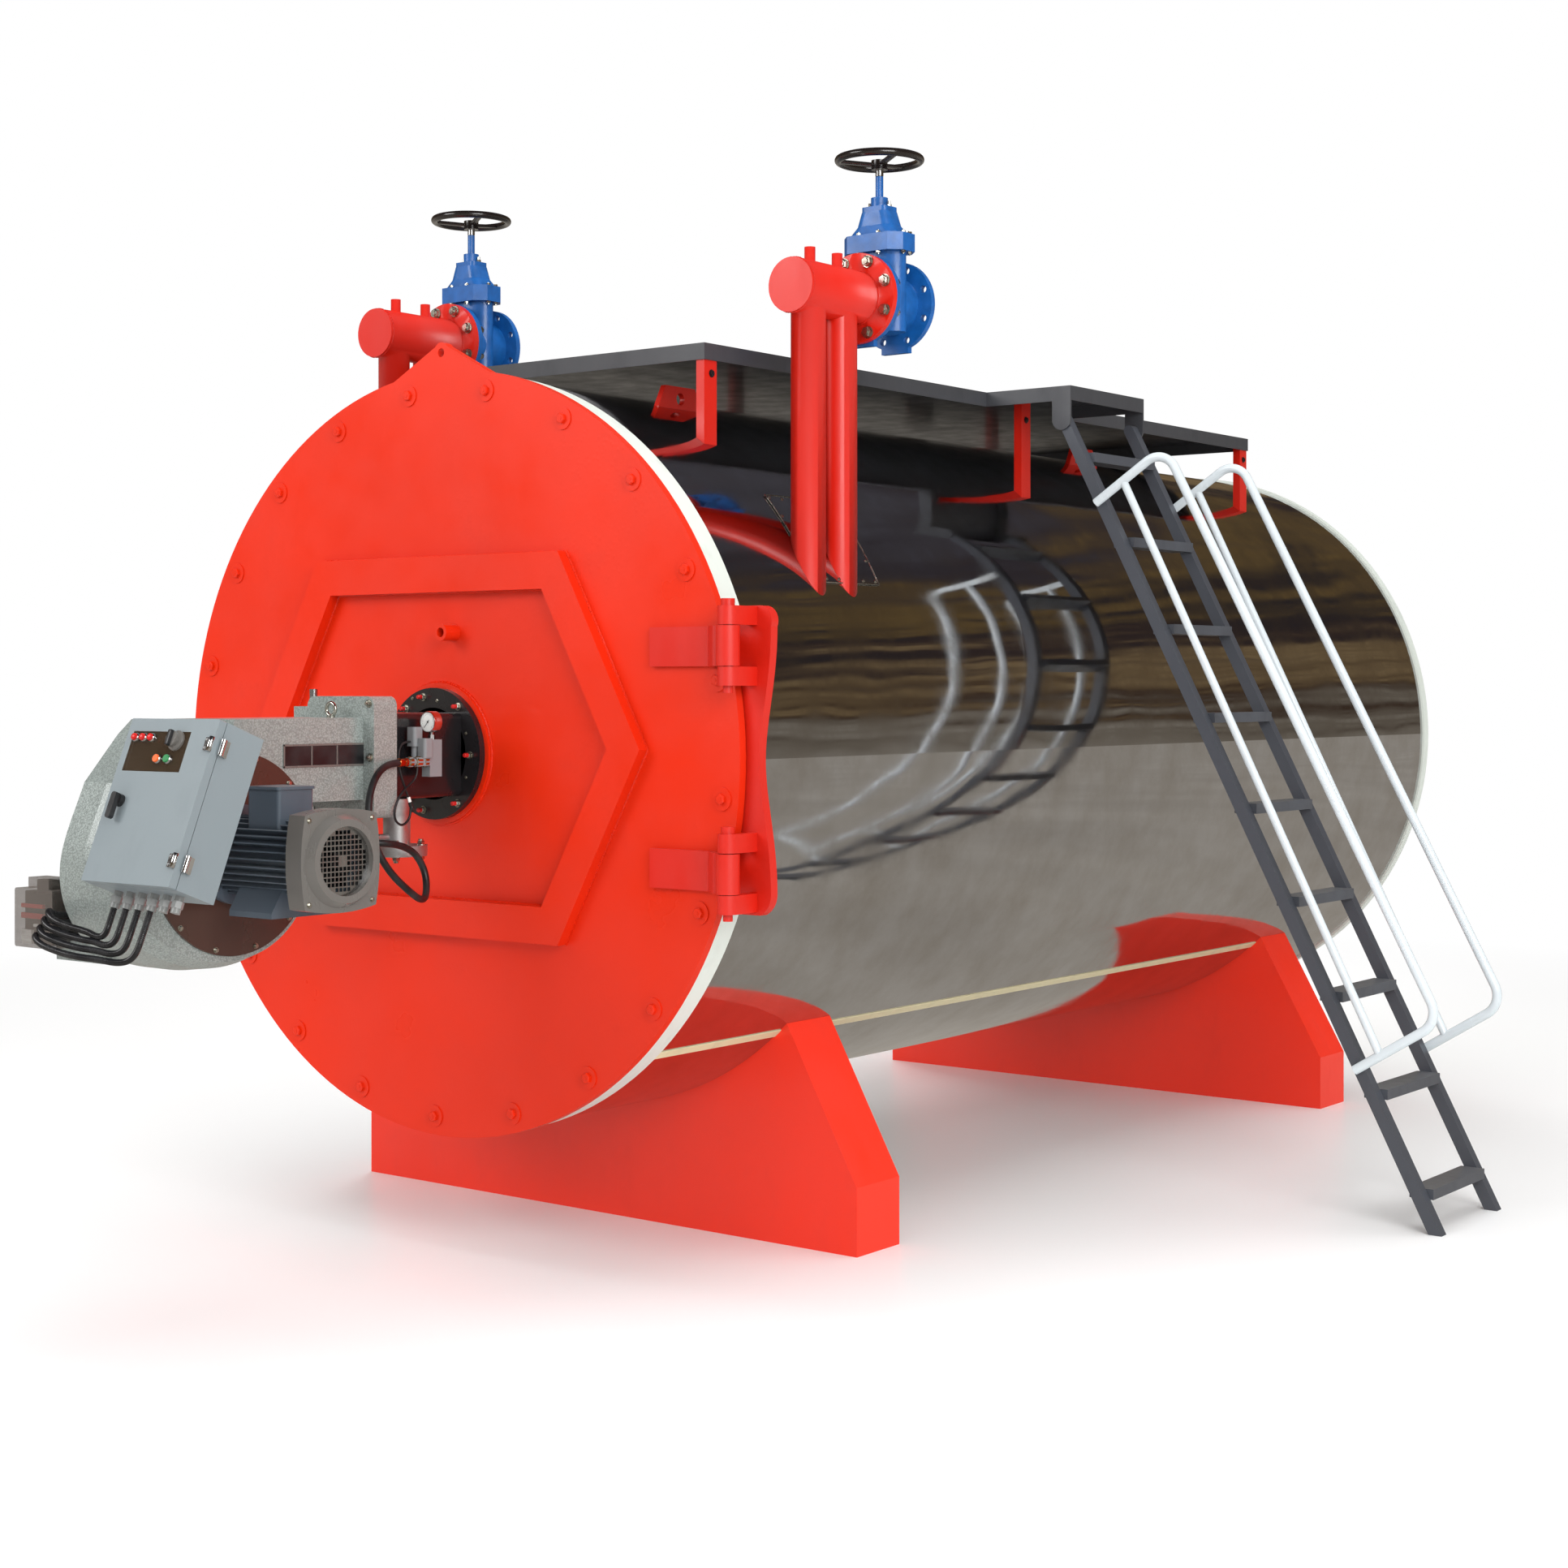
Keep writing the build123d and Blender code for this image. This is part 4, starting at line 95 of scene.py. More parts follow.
class Paint:
    """One node tree under construction."""

    def __init__(self, tree):
        self.tree = tree
        self.tree.nodes.clear()

    def node(self, kind, settings=None, values=None, output=0):
        """Adds a node; settings are set first, then its sockets' values or links."""
        made = self.tree.nodes.new(kind)
        for key, value in (settings or {}).items():
            if key == "stops":
                ramp = made.color_ramp
                while len(ramp.elements) < len(value):
                    ramp.elements.new(0.5)
                for element, (place, colour) in zip(ramp.elements, value):
                    element.position = place
                    element.color = (*colour, 1.0)
            else:
                setattr(made, key, value)
        for key, value in (values or {}).items():
            socket = made.inputs[key]
            if isinstance(value, Shade):
                self.tree.links.new(value.socket, socket)
            else:
                socket.default_value = value
        return Shade(self, made.outputs[output]) if made.outputs else None

    def place(self):
        """Object coordinates in metres."""
        return self.node("ShaderNodeTexCoord", output="Object")

    def axes(self, vector):
        """The three numbers of a vector."""
        split = self.node("ShaderNodeSeparateXYZ", values={0: vector})
        return [Shade(self, socket) for socket in split.socket.node.outputs]

    def stretch(self, vector, scale):
        """A pattern's coordinates, scaled."""
        return self.node("ShaderNodeMapping", values={"Vector": vector, "Scale": scale})

    def noise(self, vector, scale, detail=2.0, roughness=0.5):
        return self.node(
            "ShaderNodeTexNoise",
            values={"Vector": vector, "Scale": scale, "Detail": detail, "Roughness": roughness},
        )

    def between(self, value, low, high, start=0.0, end=1.0):
        """A value's range moved to another, with its ends held."""
        return self.node(
            "ShaderNodeMapRange",
            values={"Value": value, "From Min": low, "From Max": high, "To Min": start, "To Max": end},
        )

    def blend(self, share, first, second):
        """Two colours mixed by a share."""
        return self.node(
            "ShaderNodeMix",
            {"data_type": "RGBA"},
            {"Factor": share, 6: self.colour(first), 7: self.colour(second)},
            output=2,
        )

    def colour(self, value):
        return value if isinstance(value, Shade) else (*value, 1.0)

    def bump(self, height, strength, distance, normal=None):
        values = {"Height": height, "Strength": strength, "Distance": distance}
        if normal is not None:
            values["Normal"] = normal
        return self.node("ShaderNodeBump", values=values)

    def surface(self, **values):
        """The finished surface; keys are socket names with underscores for spaces."""
        sockets = {key.replace("_", " "): value for key, value in values.items()}
        shader = self.node("ShaderNodeBsdfPrincipled", values=sockets)
        self.node("ShaderNodeOutputMaterial", values={"Surface": shader})


def srgb(red, green, blue):
    """A colour as the eye reads it, 0 to 255, turned to linear light."""
    def line(value):
        share = value / 255
        return share / 12.92 if share <= 0.04045 else ((share + 0.055) / 1.055) ** 2.4

    return (line(red), line(green), line(blue))


def shaded(colour, factor):
    return tuple(min(channel * factor, 1.0) for channel in colour)


def new_finish(name):
    material = bpy.data.materials.new(name)
    material.use_nodes = True
    return material, Paint(material.node_tree)


def gloss_paint(paint, place, colour, roughness=0.3, coat=0.25, peel=0.05, grime=0.12, dusty=0.0):
    """Sprayed enamel: broad unevenness, orange peel, dull patches and a little grime."""
    broad = paint.noise(place, 0.9, 3.0)
    grain = paint.noise(place, 140.0, 2.0)
    smear = paint.noise(paint.stretch(place, (1.0, 1.0, 0.35)), 9.0, 5.0, 0.6)
    base = paint.blend(paint.between(broad, 0.3, 0.7), shaded(colour, 0.93), shaded(colour, 1.05))
    dirty = paint.between(smear, 0.56, 0.78, 0.0, grime)
    base = paint.blend(dirty, base, shaded(colour, 0.45))
    if dusty:
        up = paint.axes(paint.node("ShaderNodeNewGeometry", output="Normal"))[2]
        dust = paint.between(up, 0.5, 1.0) * paint.between(smear, 0.3, 0.7, 0.4, 1.0) * dusty
        base = paint.blend(dust, base, (0.42, 0.40, 0.37))
    dull = paint.between(smear, 0.35, 0.75, roughness * 0.85, roughness * 1.35)
    normal = paint.bump(grain, peel, 0.0012, paint.bump(broad, 0.12, 0.01))
    paint.surface(Base_Color=base, Roughness=dull, Normal=normal, Coat_Weight=coat, Coat_Roughness=0.15)


def brushed_paint(paint, place, colour, roughness=0.38):
    """Red enamel laid on a rough-cut plate: spatter and brush marks under the gloss."""
    broad = paint.noise(place, 1.1, 4.0)
    spatter = paint.node(
        "ShaderNodeTexVoronoi", {"feature": "SMOOTH_F1"}, {"Vector": place, "Scale": 55.0, "Smoothness": 0.6}
    )
    patches = paint.noise(place, 3.2, 4.0, 0.6)
    marks = paint.noise(paint.stretch(place, (60.0, 60.0, 9.0)), 3.0, 3.0)
    base = paint.blend(paint.between(broad, 0.3, 0.72), shaded(colour, 0.90), shaded(colour, 1.06))
    base = paint.blend(paint.between(patches, 0.62, 0.8, 0.0, 0.25), base, shaded(colour, 0.7))
    rough = paint.between(patches, 0.3, 0.75, roughness * 0.7, roughness * 1.3)
    drops = paint.between(spatter, 0.0, 0.4, 1.0, 0.0) * paint.between(patches, 0.45, 0.62)
    normal = paint.bump(drops + marks * 0.5, 0.16, 0.0016, paint.bump(broad, 0.2, 0.012))
    paint.surface(
        Base_Color=base, Roughness=rough, Normal=normal,
        Specular_IOR_Level=0.3, Coat_Weight=0.1, Coat_Roughness=0.12,
    )


def mirror_sheet(paint, place):
    """Polished stainless sheet, dented a little between its bands and smudged by hands."""
    waves = paint.noise(paint.stretch(place, (1.0, 0.45, 1.0)), 2.6, 2.0, 0.4)
    ripples = paint.noise(paint.stretch(place, (1.0, 0.25, 1.0)), 9.0, 1.0)
    smudge = paint.noise(place, 5.0, 6.0, 0.65)
    lines = paint.noise(paint.stretch(place, (1.0, 60.0, 1.0)), 4.0, 2.0)
    base = paint.blend(paint.between(smudge, 0.35, 0.8), srgb(196, 196, 198), srgb(176, 172, 168))
    rough = paint.between(smudge, 0.4, 0.8, 0.05, 0.16)
    normal = paint.bump(ripples, 0.10, 0.004, paint.bump(waves, 0.32, 0.02))
    normal = paint.bump(lines, 0.015, 0.001, normal)
    paint.surface(Base_Color=base, Metallic=1.0, Roughness=rough, Normal=normal)


def hammered(paint, place, colour, metallic=0.12):
    """Hammer-finish enamel: small shallow pools with dark edges."""
    wobble = paint.noise(place, 60.0, 2.0)
    pools = paint.node(
        "ShaderNodeTexVoronoi", {"feature": "SMOOTH_F1"},
        {"Vector": place, "Scale": 190.0, "Smoothness": 0.35},
    )
    broad = paint.noise(place, 5.0, 4.0)
    height = paint.between(pools, 0.1, 0.75, 0.0, 1.0) + wobble * 0.5
    base = paint.blend(paint.between(height, 0.3, 1.2), shaded(colour, 1.2), shaded(colour, 0.72))
    base = paint.blend(paint.between(broad, 0.55, 0.8, 0.0, 0.35), base, shaded(colour, 0.6))
    normal = paint.bump(height, 0.35, 0.0012)
    paint.surface(Base_Color=base, Metallic=metallic, Roughness=0.36, Normal=normal, Coat_Weight=0.2)


def cast_enamel(paint, place, colour):
    """Epoxy over rough iron: sand texture, lumps with painted shade in their hollows and painted light on
    their tops, and rubbed edges.
    """
    sand = paint.noise(place, 260.0, 3.0, 0.6)
    lumps = paint.noise(place, 28.0, 3.0)
    wear = paint.noise(place, 12.0, 5.0, 0.65)
    # Painted shade and light: the lumps that raise the bump also make the colour darker in their hollows and
    # lighter on their tops
    base = paint.blend(paint.between(lumps, 0.3, 0.7), shaded(colour, 0.82), shaded(colour, 1.12))
    base = paint.blend(paint.between(wear, 0.62, 0.75, 0.0, 0.35), base, srgb(120, 140, 165))
    rough = paint.between(wear, 0.3, 0.7, 0.28, 0.5)
    normal = paint.bump(sand, 0.22, 0.0012, paint.bump(lumps, 0.25, 0.004))
    paint.surface(Base_Color=base, Roughness=rough, Normal=normal, Coat_Weight=0.15)


def bare_metal(paint, place, colour, roughness=0.3, tint=None, scratch=30.0):
    """Turned or rolled metal with fine lines and a few stains."""
    lines = paint.noise(paint.stretch(place, (scratch, 1.0, scratch)), 20.0, 3.0)
    stain = paint.noise(place, 16.0, 5.0, 0.6)
    base = paint.blend(paint.between(stain, 0.4, 0.75), colour, tint or shaded(colour, 0.7))
    rough = paint.between(stain, 0.35, 0.75, roughness * 0.7, roughness * 1.4)
    paint.surface(Base_Color=base, Metallic=1.0, Roughness=rough, Normal=paint.bump(lines, 0.06, 0.0006))


def plastic(paint, place, colour, roughness=0.4, grain=220.0, strength=0.08):
    """Moulded plastic or rubber with a fine grain and a light bloom."""
    skin = paint.noise(place, grain, 2.0)
    bloom = paint.noise(place, 14.0, 4.0)
    base = paint.blend(paint.between(bloom, 0.4, 0.75), colour, tuple(c * 0.8 + 0.02 for c in colour))
    rough = paint.between(bloom, 0.3, 0.7, roughness * 0.85, roughness * 1.2)
    paint.surface(Base_Color=base, Roughness=rough, Normal=paint.bump(skin, strength, 0.0006))


def clear_plastic(paint, place, colour, alpha):
    """Clear cover: mostly see-through, with gloss and light scratches."""
    scratches = paint.noise(paint.stretch(place, (6.0, 90.0, 40.0)), 4.0, 3.0)
    rough = paint.between(scratches, 0.4, 0.8, 0.04, 0.14)
    veil = paint.between(scratches, 0.3, 0.8, alpha * 0.9, alpha * 1.15)
    tone = paint.blend(paint.between(scratches, 0.3, 0.8), colour, shaded(colour, 0.92))
    paint.surface(Base_Color=tone, Roughness=rough, Alpha=veil, Normal=paint.bump(scratches, 0.02, 0.0005))


def refractory(paint, place, colour):
    """Cast insulation: grainy, with hairline cracks and soot."""
    grain = paint.noise(place, 90.0, 5.0, 0.65)
    soot = paint.noise(place, 2.2, 5.0, 0.6)
    cracks = paint.node(
        "ShaderNodeTexVoronoi", {"feature": "DISTANCE_TO_EDGE"}, {"Vector": place, "Scale": 4.0}
    )
    base = paint.blend(paint.between(soot, 0.4, 0.75), colour, shaded(colour, 0.45))
    base = paint.blend(paint.between(cracks, 0.0, 0.02, 0.8, 0.0), base, shaded(colour, 0.3))
    normal = paint.bump(grain, 0.5, 0.003, paint.bump(paint.between(cracks, 0.0, 0.02), 0.4, 0.003))
    paint.surface(Base_Color=base, Roughness=0.9, Normal=normal)


RED = srgb(214, 40, 8)
# The saddles' red is the door's red made brighter: painted light that makes up for the shade falling on the
# saddles
RED_BRIGHTENED_FOR_SHADE = srgb(244, 44, 16)
# Each finish: its recipe, its colour, then that recipe's own values in their order
recipes = {
    "door_red": (brushed_paint, RED),
    "saddle_red": (gloss_paint, RED_BRIGHTENED_FOR_SHADE, 0.34, 0.3, 0.05, 0.08),
    "pipe_red": (gloss_paint, srgb(200, 25, 5), 0.38, 0.08, 0.07, 0.1),
    "mirror_steel": (mirror_sheet,),
    "rim_paint": (gloss_paint, srgb(206, 212, 204), 0.45, 0.1, 0.05, 0.35),
    "strip_cream": (gloss_paint, srgb(214, 204, 166), 0.5, 0.05, 0.04, 0.3),
    "deck_grey": (gloss_paint, srgb(62, 63, 67), 0.42, 0.15, 0.08, 0.3, 0.25),
    "ladder_grey": (gloss_paint, srgb(70, 73, 80), 0.4, 0.2, 0.07, 0.25, 0.2),
    "rail_pale": (gloss_paint, srgb(206, 214, 218), 0.25, 0.4, 0.05, 0.12),
    "valve_blue": (cast_enamel, srgb(18, 88, 158)),
    "wheel_black": (gloss_paint, srgb(26, 20, 18), 0.2, 0.5, 0.06, 0.2),
    "hammer_grey": (hammered, srgb(146, 154, 150)),
    "burner_brown": (gloss_paint, srgb(66, 42, 34), 0.3, 0.35, 0.08, 0.25),
    "burner_black": (gloss_paint, srgb(26, 24, 26), 0.28, 0.35, 0.08, 0.2),
    "cabinet_blue": (gloss_paint, srgb(122, 132, 136), 0.36, 0.2, 0.1, 0.12),
    "smoked_case": (clear_plastic, srgb(112, 104, 98), 0.62),
    "smoked_window": (clear_plastic, srgb(74, 60, 46), 0.55),
    "lamp_red": (plastic, srgb(196, 30, 26), 0.2, 60.0, 0.02),
    "hinge_chrome": (bare_metal, srgb(222, 222, 222), 0.12),
    "black_plastic": (plastic, srgb(22, 22, 24), 0.35),
    "gland_plastic": (plastic, srgb(126, 128, 126), 0.3),
    "refractory": (refractory, srgb(196, 178, 150)),
    "scaled_steel": (bare_metal, srgb(96, 88, 82), 0.55, srgb(70, 52, 44), 8.0),
    "bare_steel": (bare_metal, srgb(176, 176, 176), 0.28),
    "zinc": (bare_metal, srgb(196, 194, 184), 0.3, srgb(150, 146, 132)),
    "flue_grey": (gloss_paint, srgb(128, 130, 132), 0.5, 0.05, 0.06, 0.3),
    "motor_grey": (gloss_paint, srgb(78, 88, 98), 0.34, 0.2, 0.1, 0.3, 0.2),
    "cowl_grey": (gloss_paint, srgb(98, 95, 91), 0.28, 0.4, 0.08, 0.2),
    "alloy": (bare_metal, srgb(200, 200, 200), 0.55),
    "brass": (bare_metal, srgb(196, 150, 76), 0.3, srgb(140, 104, 50)),
    "copper": (bare_metal, srgb(196, 112, 66), 0.25, srgb(150, 78, 44)),
    "cable_black": (plastic, srgb(18, 18, 20), 0.45, 300.0, 0.05),
    "conduit_rib": (plastic, srgb(24, 24, 27), 0.25, 300.0, 0.02),
    "paper_white": (plastic, srgb(236, 236, 232), 0.5, 300.0, 0.02),
    "signal_orange": (plastic, srgb(232, 96, 20), 0.4),
    "signal_green": (plastic, srgb(30, 130, 70), 0.3),
}
finishes = {}
for name, (lay, *values) in recipes.items():
    finishes[name], paint = new_finish(name)
    lay(paint, paint.place(), *values)

# Nodes that keep their own shape, gathered by finish
nodes_of = {
    "alloy": "gas_inlet",
    "bare_steel": "burner_pin fan_grille pressure_gauge",
    "black_plastic": "cabinet_bracket cabinet_handle damper_drive motor_fan",
    "burner_black": "burner_flange burner_neck",
    "burner_brown": "volute_cover",
    "cabinet_blue": "cabinet_door control_cabinet",
    "cowl_grey": "motor_cowl",
    "deck_grey": "walkway_deck",
    "door_red": "door_plate hexagon_frame",
    "flue_grey": "flue_outlet pilot_valves rear_cleanout",
    "gland_plastic": "cable_glands",
    "hammer_grey": "air_intake burner_housing burner_plate",
    "hinge_chrome": "cabinet_hinges",
    "ladder_grey": "ladder_stringers ladder_treads",
    "lamp_red": "cabinet_controls",
    "mirror_steel": "cladding_shell pipe_covers",
    "motor_grey": "fan_motor",
    "pipe_red": "headers hinge_bracket hinge_pins hinge_straps lifting_lugs walkway_posts",
    "rail_pale": "handrails",
    "refractory": "door_insulation",
    "rim_paint": "front_ring rear_plate rear_ring",
    "saddle_red": "front_saddle rear_saddle",
    "scaled_steel": "burner_head front_tube_plate furnace_tube",
    "smoked_case": "pressure_switch",
    "smoked_window": "cabinet_window",
    "strip_cream": "seam_strips",
    "valve_blue": "valve_bodies valve_bonnets",
    "wheel_black": "handwheel_left handwheel_right",
}
for finish, nodes in nodes_of.items():
    for node in nodes.split():
        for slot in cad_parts[node].material_slots:
            slot.material = finishes[finish]


def at(x, setback, height):
    """A place in metres from its setback behind the door and height above the axis, in mm."""
    return Vector((x / 1000, FRONT + setback / 1000, AXIS + height / 1000))


def on_cabinet(x, up, out=0.0):
    """A place on the tilted cabinet's face, in mm from its middle."""
    return CABINET_CENTRE + Vector((x / 1000, 0, 0)) + CABINET_UP * (up / 1000) + CABINET_OUT * (out / 1000)


def stand(name, data):
    """A new object in the scene."""
    made = bpy.data.objects.new(name, data)
    bpy.context.scene.collection.objects.link(made)
    return made


def plain(holder, name):
    """The shape of an object as a mesh of its own; the object goes."""
    ready = holder.evaluated_get(bpy.context.evaluated_depsgraph_get())
    mesh = bpy.data.meshes.new_from_object(ready)
    mesh.name = name
    bpy.data.objects.remove(holder)
    return mesh


def mesh_of(work, name):
    """The mesh of a finished bmesh."""
    mesh = bpy.data.meshes.new(name)
    work.to_mesh(mesh)
    work.free()
    return mesh


def smooth(mesh):
    mesh.polygons.foreach_set("use_smooth", [True] * len(mesh.polygons))
    return mesh


def dress(piece, body):
    """Gives a finished piece its body."""
    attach(piece, body)
    return piece


def new_piece(name, mesh, body, finish):
    """A piece of one finish from a mesh."""
    mesh.materials.clear()
    mesh.materials.append(finishes[finish])
    return dress(stand(name, mesh), body)


# Geometry trees for what repeats
class Tree:
    """A geometry tree with named inputs that ends in realised instances and one material."""

    def __init__(self, name, inputs):
        self.tree = bpy.data.node_groups.new(name, "GeometryNodeTree")
        self.keys = {}
        for label, kind in [("Geometry", "NodeSocketGeometry"), *inputs, ("Finish", "NodeSocketMaterial")]:
            made = self.tree.interface.new_socket(name=label, in_out="INPUT", socket_type=kind)
            self.keys[label] = made.identifier
        self.tree.interface.new_socket(name="Geometry", in_out="OUTPUT", socket_type="NodeSocketGeometry")
        self.given = self.tree.nodes.new("NodeGroupInput").outputs

    def node(self, kind, settings=None, values=None, output=0):
        made = self.tree.nodes.new(kind)
        for key, value in (settings or {}).items():
            setattr(made, key, value)
        for key, value in (values or {}).items():
            for one in value if isinstance(value, list) else [value]:
                if isinstance(one, bpy.types.NodeSocket):
                    self.tree.links.new(one, made.inputs[key])
                else:
                    made.inputs[key].default_value = one
        return made.outputs[output] if made.outputs else None

    def math(self, first, second, operation="ADD"):
        return self.node("ShaderNodeMath", {"operation": operation}, {0: first, 1: second})

    def raised(self, shape, height):
        move = self.node("ShaderNodeCombineXYZ", values={"Z": height})
        return self.node("GeometryNodeTransform", values={"Geometry": shape, "Translation": move})

    def prism(self, sides, bottom, top, height):
        values = {"Vertices": sides, "Radius Top": top, "Radius Bottom": bottom, "Depth": height}
        return self.node("GeometryNodeMeshCone", {"fill_type": "NGON"}, values)

    def finish(self, shape):
        real = self.node("GeometryNodeRealizeInstances", values={"Geometry": shape})
        painted = self.node(
            "GeometryNodeSetMaterial", values={"Geometry": real, "Material": self.given["Finish"]}
        )
        self.node("NodeGroupOutput", values={"Geometry": painted})
        return self

    def grow(self, name, seeds, body, finish, **sizes):
        """Runs the tree on a seed mesh and keeps the result as a plain mesh."""
        holder = stand(name + "_seeds", seeds)
        modifier = holder.modifiers.new("grow", "NODES")
        modifier.node_group = self.tree
        for label, value in sizes.items():
            modifier[self.keys[label.replace("_", " ")]] = value
        modifier[self.keys["Finish"]] = finishes[finish]
        return new_piece(name, plain(holder, name), body, finish)


def bolt_tree():
    """Bolts on points, each along the point's own direction and turned by chance."""
    number = "NodeSocketFloat"
    tree = Tree("bolts", [
        ("Head radius", number), ("Head height", number), ("Head sides", "NodeSocketInt"),
        ("Washer radius", number), ("Washer height", number), ("Stud radius", number), ("Stud reach", number),
    ])
    size = tree.given
    body_height = tree.math(size["Head height"], 0.8, "MULTIPLY")
    head = tree.prism(size["Head sides"], size["Head radius"], size["Head radius"], body_height)
    crown_radius = tree.math(size["Head radius"], 0.8, "MULTIPLY")
    crown_height = tree.math(size["Head height"], 0.2, "MULTIPLY")
    crown = tree.prism(size["Head sides"], size["Head radius"], crown_radius, crown_height)
    washer = tree.prism(20, size["Washer radius"], size["Washer radius"], size["Washer height"])
    over = tree.math(size["Washer height"], size["Head height"])
    stud = tree.prism(10, size["Stud radius"], size["Stud radius"], tree.math(over, size["Stud reach"]))
    lifted = tree.raised(head, size["Washer height"])
    capped = tree.raised(crown, tree.math(size["Washer height"], body_height))
    bolt = tree.node("GeometryNodeJoinGeometry", values={0: [stud, capped, lifted, washer]})
    out = tree.node("GeometryNodeInputNamedAttribute", {"data_type": "FLOAT_VECTOR"}, {"Name": "out"})
    along = tree.node("FunctionNodeAlignRotationToVector", {"axis": "Z"}, {"Vector": out})
    placed = tree.node("GeometryNodeInstanceOnPoints", values={
        "Points": size["Geometry"], "Instance": bolt, "Rotation": along,
    })
    chance = tree.node("FunctionNodeRandomValue", {"data_type": "FLOAT"}, {2: 0.0, 3: 6.28, "Seed": 7}, 1)
    spin = tree.node("ShaderNodeCombineXYZ", values={"Z": chance})
    spun = tree.node("GeometryNodeRotateInstances", values={"Instances": placed, "Rotation": spin})
    return tree.finish(spun)


def bead_tree():
    """Weld ripples along edges: short tapered rings that lean on each other."""
    tree = Tree("weld_bead", [("Bead radius", "NodeSocketFloat"), ("Pitch", "NodeSocketFloat")])
    size = tree.given
    line = tree.node("GeometryNodeMeshToCurve", values={"Mesh": size["Geometry"]})
    stops = tree.tree.nodes.new("GeometryNodeCurveToPoints")
    stops.mode = "LENGTH"
    tree.tree.links.new(line, stops.inputs["Curve"])
    tree.tree.links.new(size["Pitch"], stops.inputs["Length"])
    slim = tree.math(size["Bead radius"], 0.55, "MULTIPLY")
    ring = tree.prism(8, size["Bead radius"], slim, tree.math(size["Pitch"], 1.5, "MULTIPLY"))
    grown = tree.node("FunctionNodeRandomValue", {"data_type": "FLOAT"}, {2: 0.75, 3: 1.25, "Seed": 3}, 1)
    placed = tree.node("GeometryNodeInstanceOnPoints", values={
        "Points": stops.outputs["Points"], "Instance": ring,
        "Rotation": stops.outputs["Rotation"], "Scale": grown,
    })
    return tree.finish(placed)


bolt_rule = bolt_tree()
bead_rule = bead_tree()


# Fasteners in metres: head radius, height and sides; washer radius and height; stud radius and reach
bolt_sizes = {
    "door": ((0.0165, 0.010, 6), (0.034, 0.004), (0.006, 0.001)),
    "burner stud": ((0.010, 0.009, 6), (0.0125, 0.002), (0.006, 0.008)),
    "stud cap": ((0.0068, 0.014, 12), (0.0069, 0.001), (0.003, 0.001)),
    "flange screw": ((0.0045, 0.003, 6), (0.0055, 0.0008), (0.0015, 0.0005)),
    "cover screw": ((0.0065, 0.006, 12), (0.0085, 0.001), (0.003, 0.0003)),
    "cowl screw": ((0.0055, 0.004, 6), (0.0075, 0.001), (0.002, 0.0003)),
    "burner bolt": ((0.0095, 0.008, 6), (0.0125, 0.002), (0.005, 0.004)),
    "gas bolt": ((0.0120, 0.010, 6), (0.0150, 0.002), (0.008, 0.006)),
    "hinge screw": ((0.0035, 0.0015, 12), (0.0045, 0.0005), (0.001, 0.0002)),
    "pipe bolt": ((0.0175, 0.013, 6), (0.0195, 0.003), (0.010, 0.004)),
    "pipe nut": ((0.0175, 0.015, 6), (0.0195, 0.003), (0.010, 0.010)),
    "bonnet bolt": ((0.0075, 0.007, 6), (0, 0), (0.004, 0.002)),
    "bonnet nut": ((0.0075, 0.007, 6), (0, 0), (0.004, 0.004)),
    "gland bolt": ((0.0085, 0.008, 6), (0, 0), (0.005, 0.010)),
    "rivet": ((0.0050, 0.0030, 10), (0.0062, 0.0006), (0.001, 0.0002)),
    "post bolt": ((0.0095, 0.006, 6), (0.0125, 0.0015), (0.004, 0.001)),
}


def bolts(name, places, body, finish, size):
    """Bolts at places, each a point and the direction that it faces, of a named size."""
    head, washer, stud = bolt_sizes[size]
    seeds = bpy.data.meshes.new(name + "_seeds")
    seeds.from_pydata([tuple(place) for place, _ in places], [], [])
    outward = seeds.attributes.new("out", "FLOAT_VECTOR", "POINT")
    for index, (_, direction) in enumerate(places):
        outward.data[index].vector = Vector(direction).normalized()
    return bolt_rule.grow(
        name, seeds, body, finish,
        Head_radius=head[0], Head_height=head[1], Head_sides=head[2],
        Washer_radius=washer[0] or head[0] * 0.9, Washer_height=washer[1] or 0.0005,
        Stud_radius=stud[0], Stud_reach=stud[1],
    )


def bead(name, loops, body, finish, radius, pitch):
    """Weld beads along closed loops of points."""
    corners, edges = [], []
    for loop in loops:
        start = len(corners)
        corners += [tuple(point) for point in loop]
        edges += [(start + step, start + (step + 1) % len(loop)) for step in range(len(loop))]
    seeds = bpy.data.meshes.new(name + "_seeds")
    seeds.from_pydata(corners, edges, [])
    return bead_rule.grow(name, seeds, body, finish, Bead_radius=radius, Pitch=pitch)


def circle(middle, radius, right, up, count=96):
    turns = [math.tau * step / count for step in range(count)]
    return [middle + right * (radius * math.cos(turn)) + up * (radius * math.sin(turn)) for turn in turns]


def lofted(name, stacks):
    """One mesh of closed solids, each a stack of rings of points."""
    work = bmesh.new()
    for stack in stacks:
        rings = [[work.verts.new(spot) for spot in ring] for ring in stack]
        work.faces.new(list(reversed(rings[0])))
        work.faces.new(rings[-1])
        for low, high in zip(rings, rings[1:]):
            for step in range(len(low)):
                after = (step + 1) % len(low)
                work.faces.new((low[step], low[after], high[after], high[step]))
    return mesh_of(work, name)


def turned(shapes, sides=28):
    """One mesh of turned solids; each is a profile of (radius, reach), an origin and an axis."""
    turns = [math.tau * step / sides for step in range(sides)]
    stacks = []
    for profile, origin, axis in shapes:
        lean = Vector(axis).normalized().to_track_quat("Z", "Y").to_matrix()
        stacks.append([[
            origin + lean @ Vector((radius * math.cos(turn), radius * math.sin(turn), reach))
            for turn in turns
        ] for radius, reach in profile])
    mesh = lofted("turned", stacks)
    mesh.polygons.foreach_set("use_smooth", [len(face.vertices) == 4 for face in mesh.polygons])
    mesh.set_sharp_from_angle(angle=math.radians(35))
    return mesh


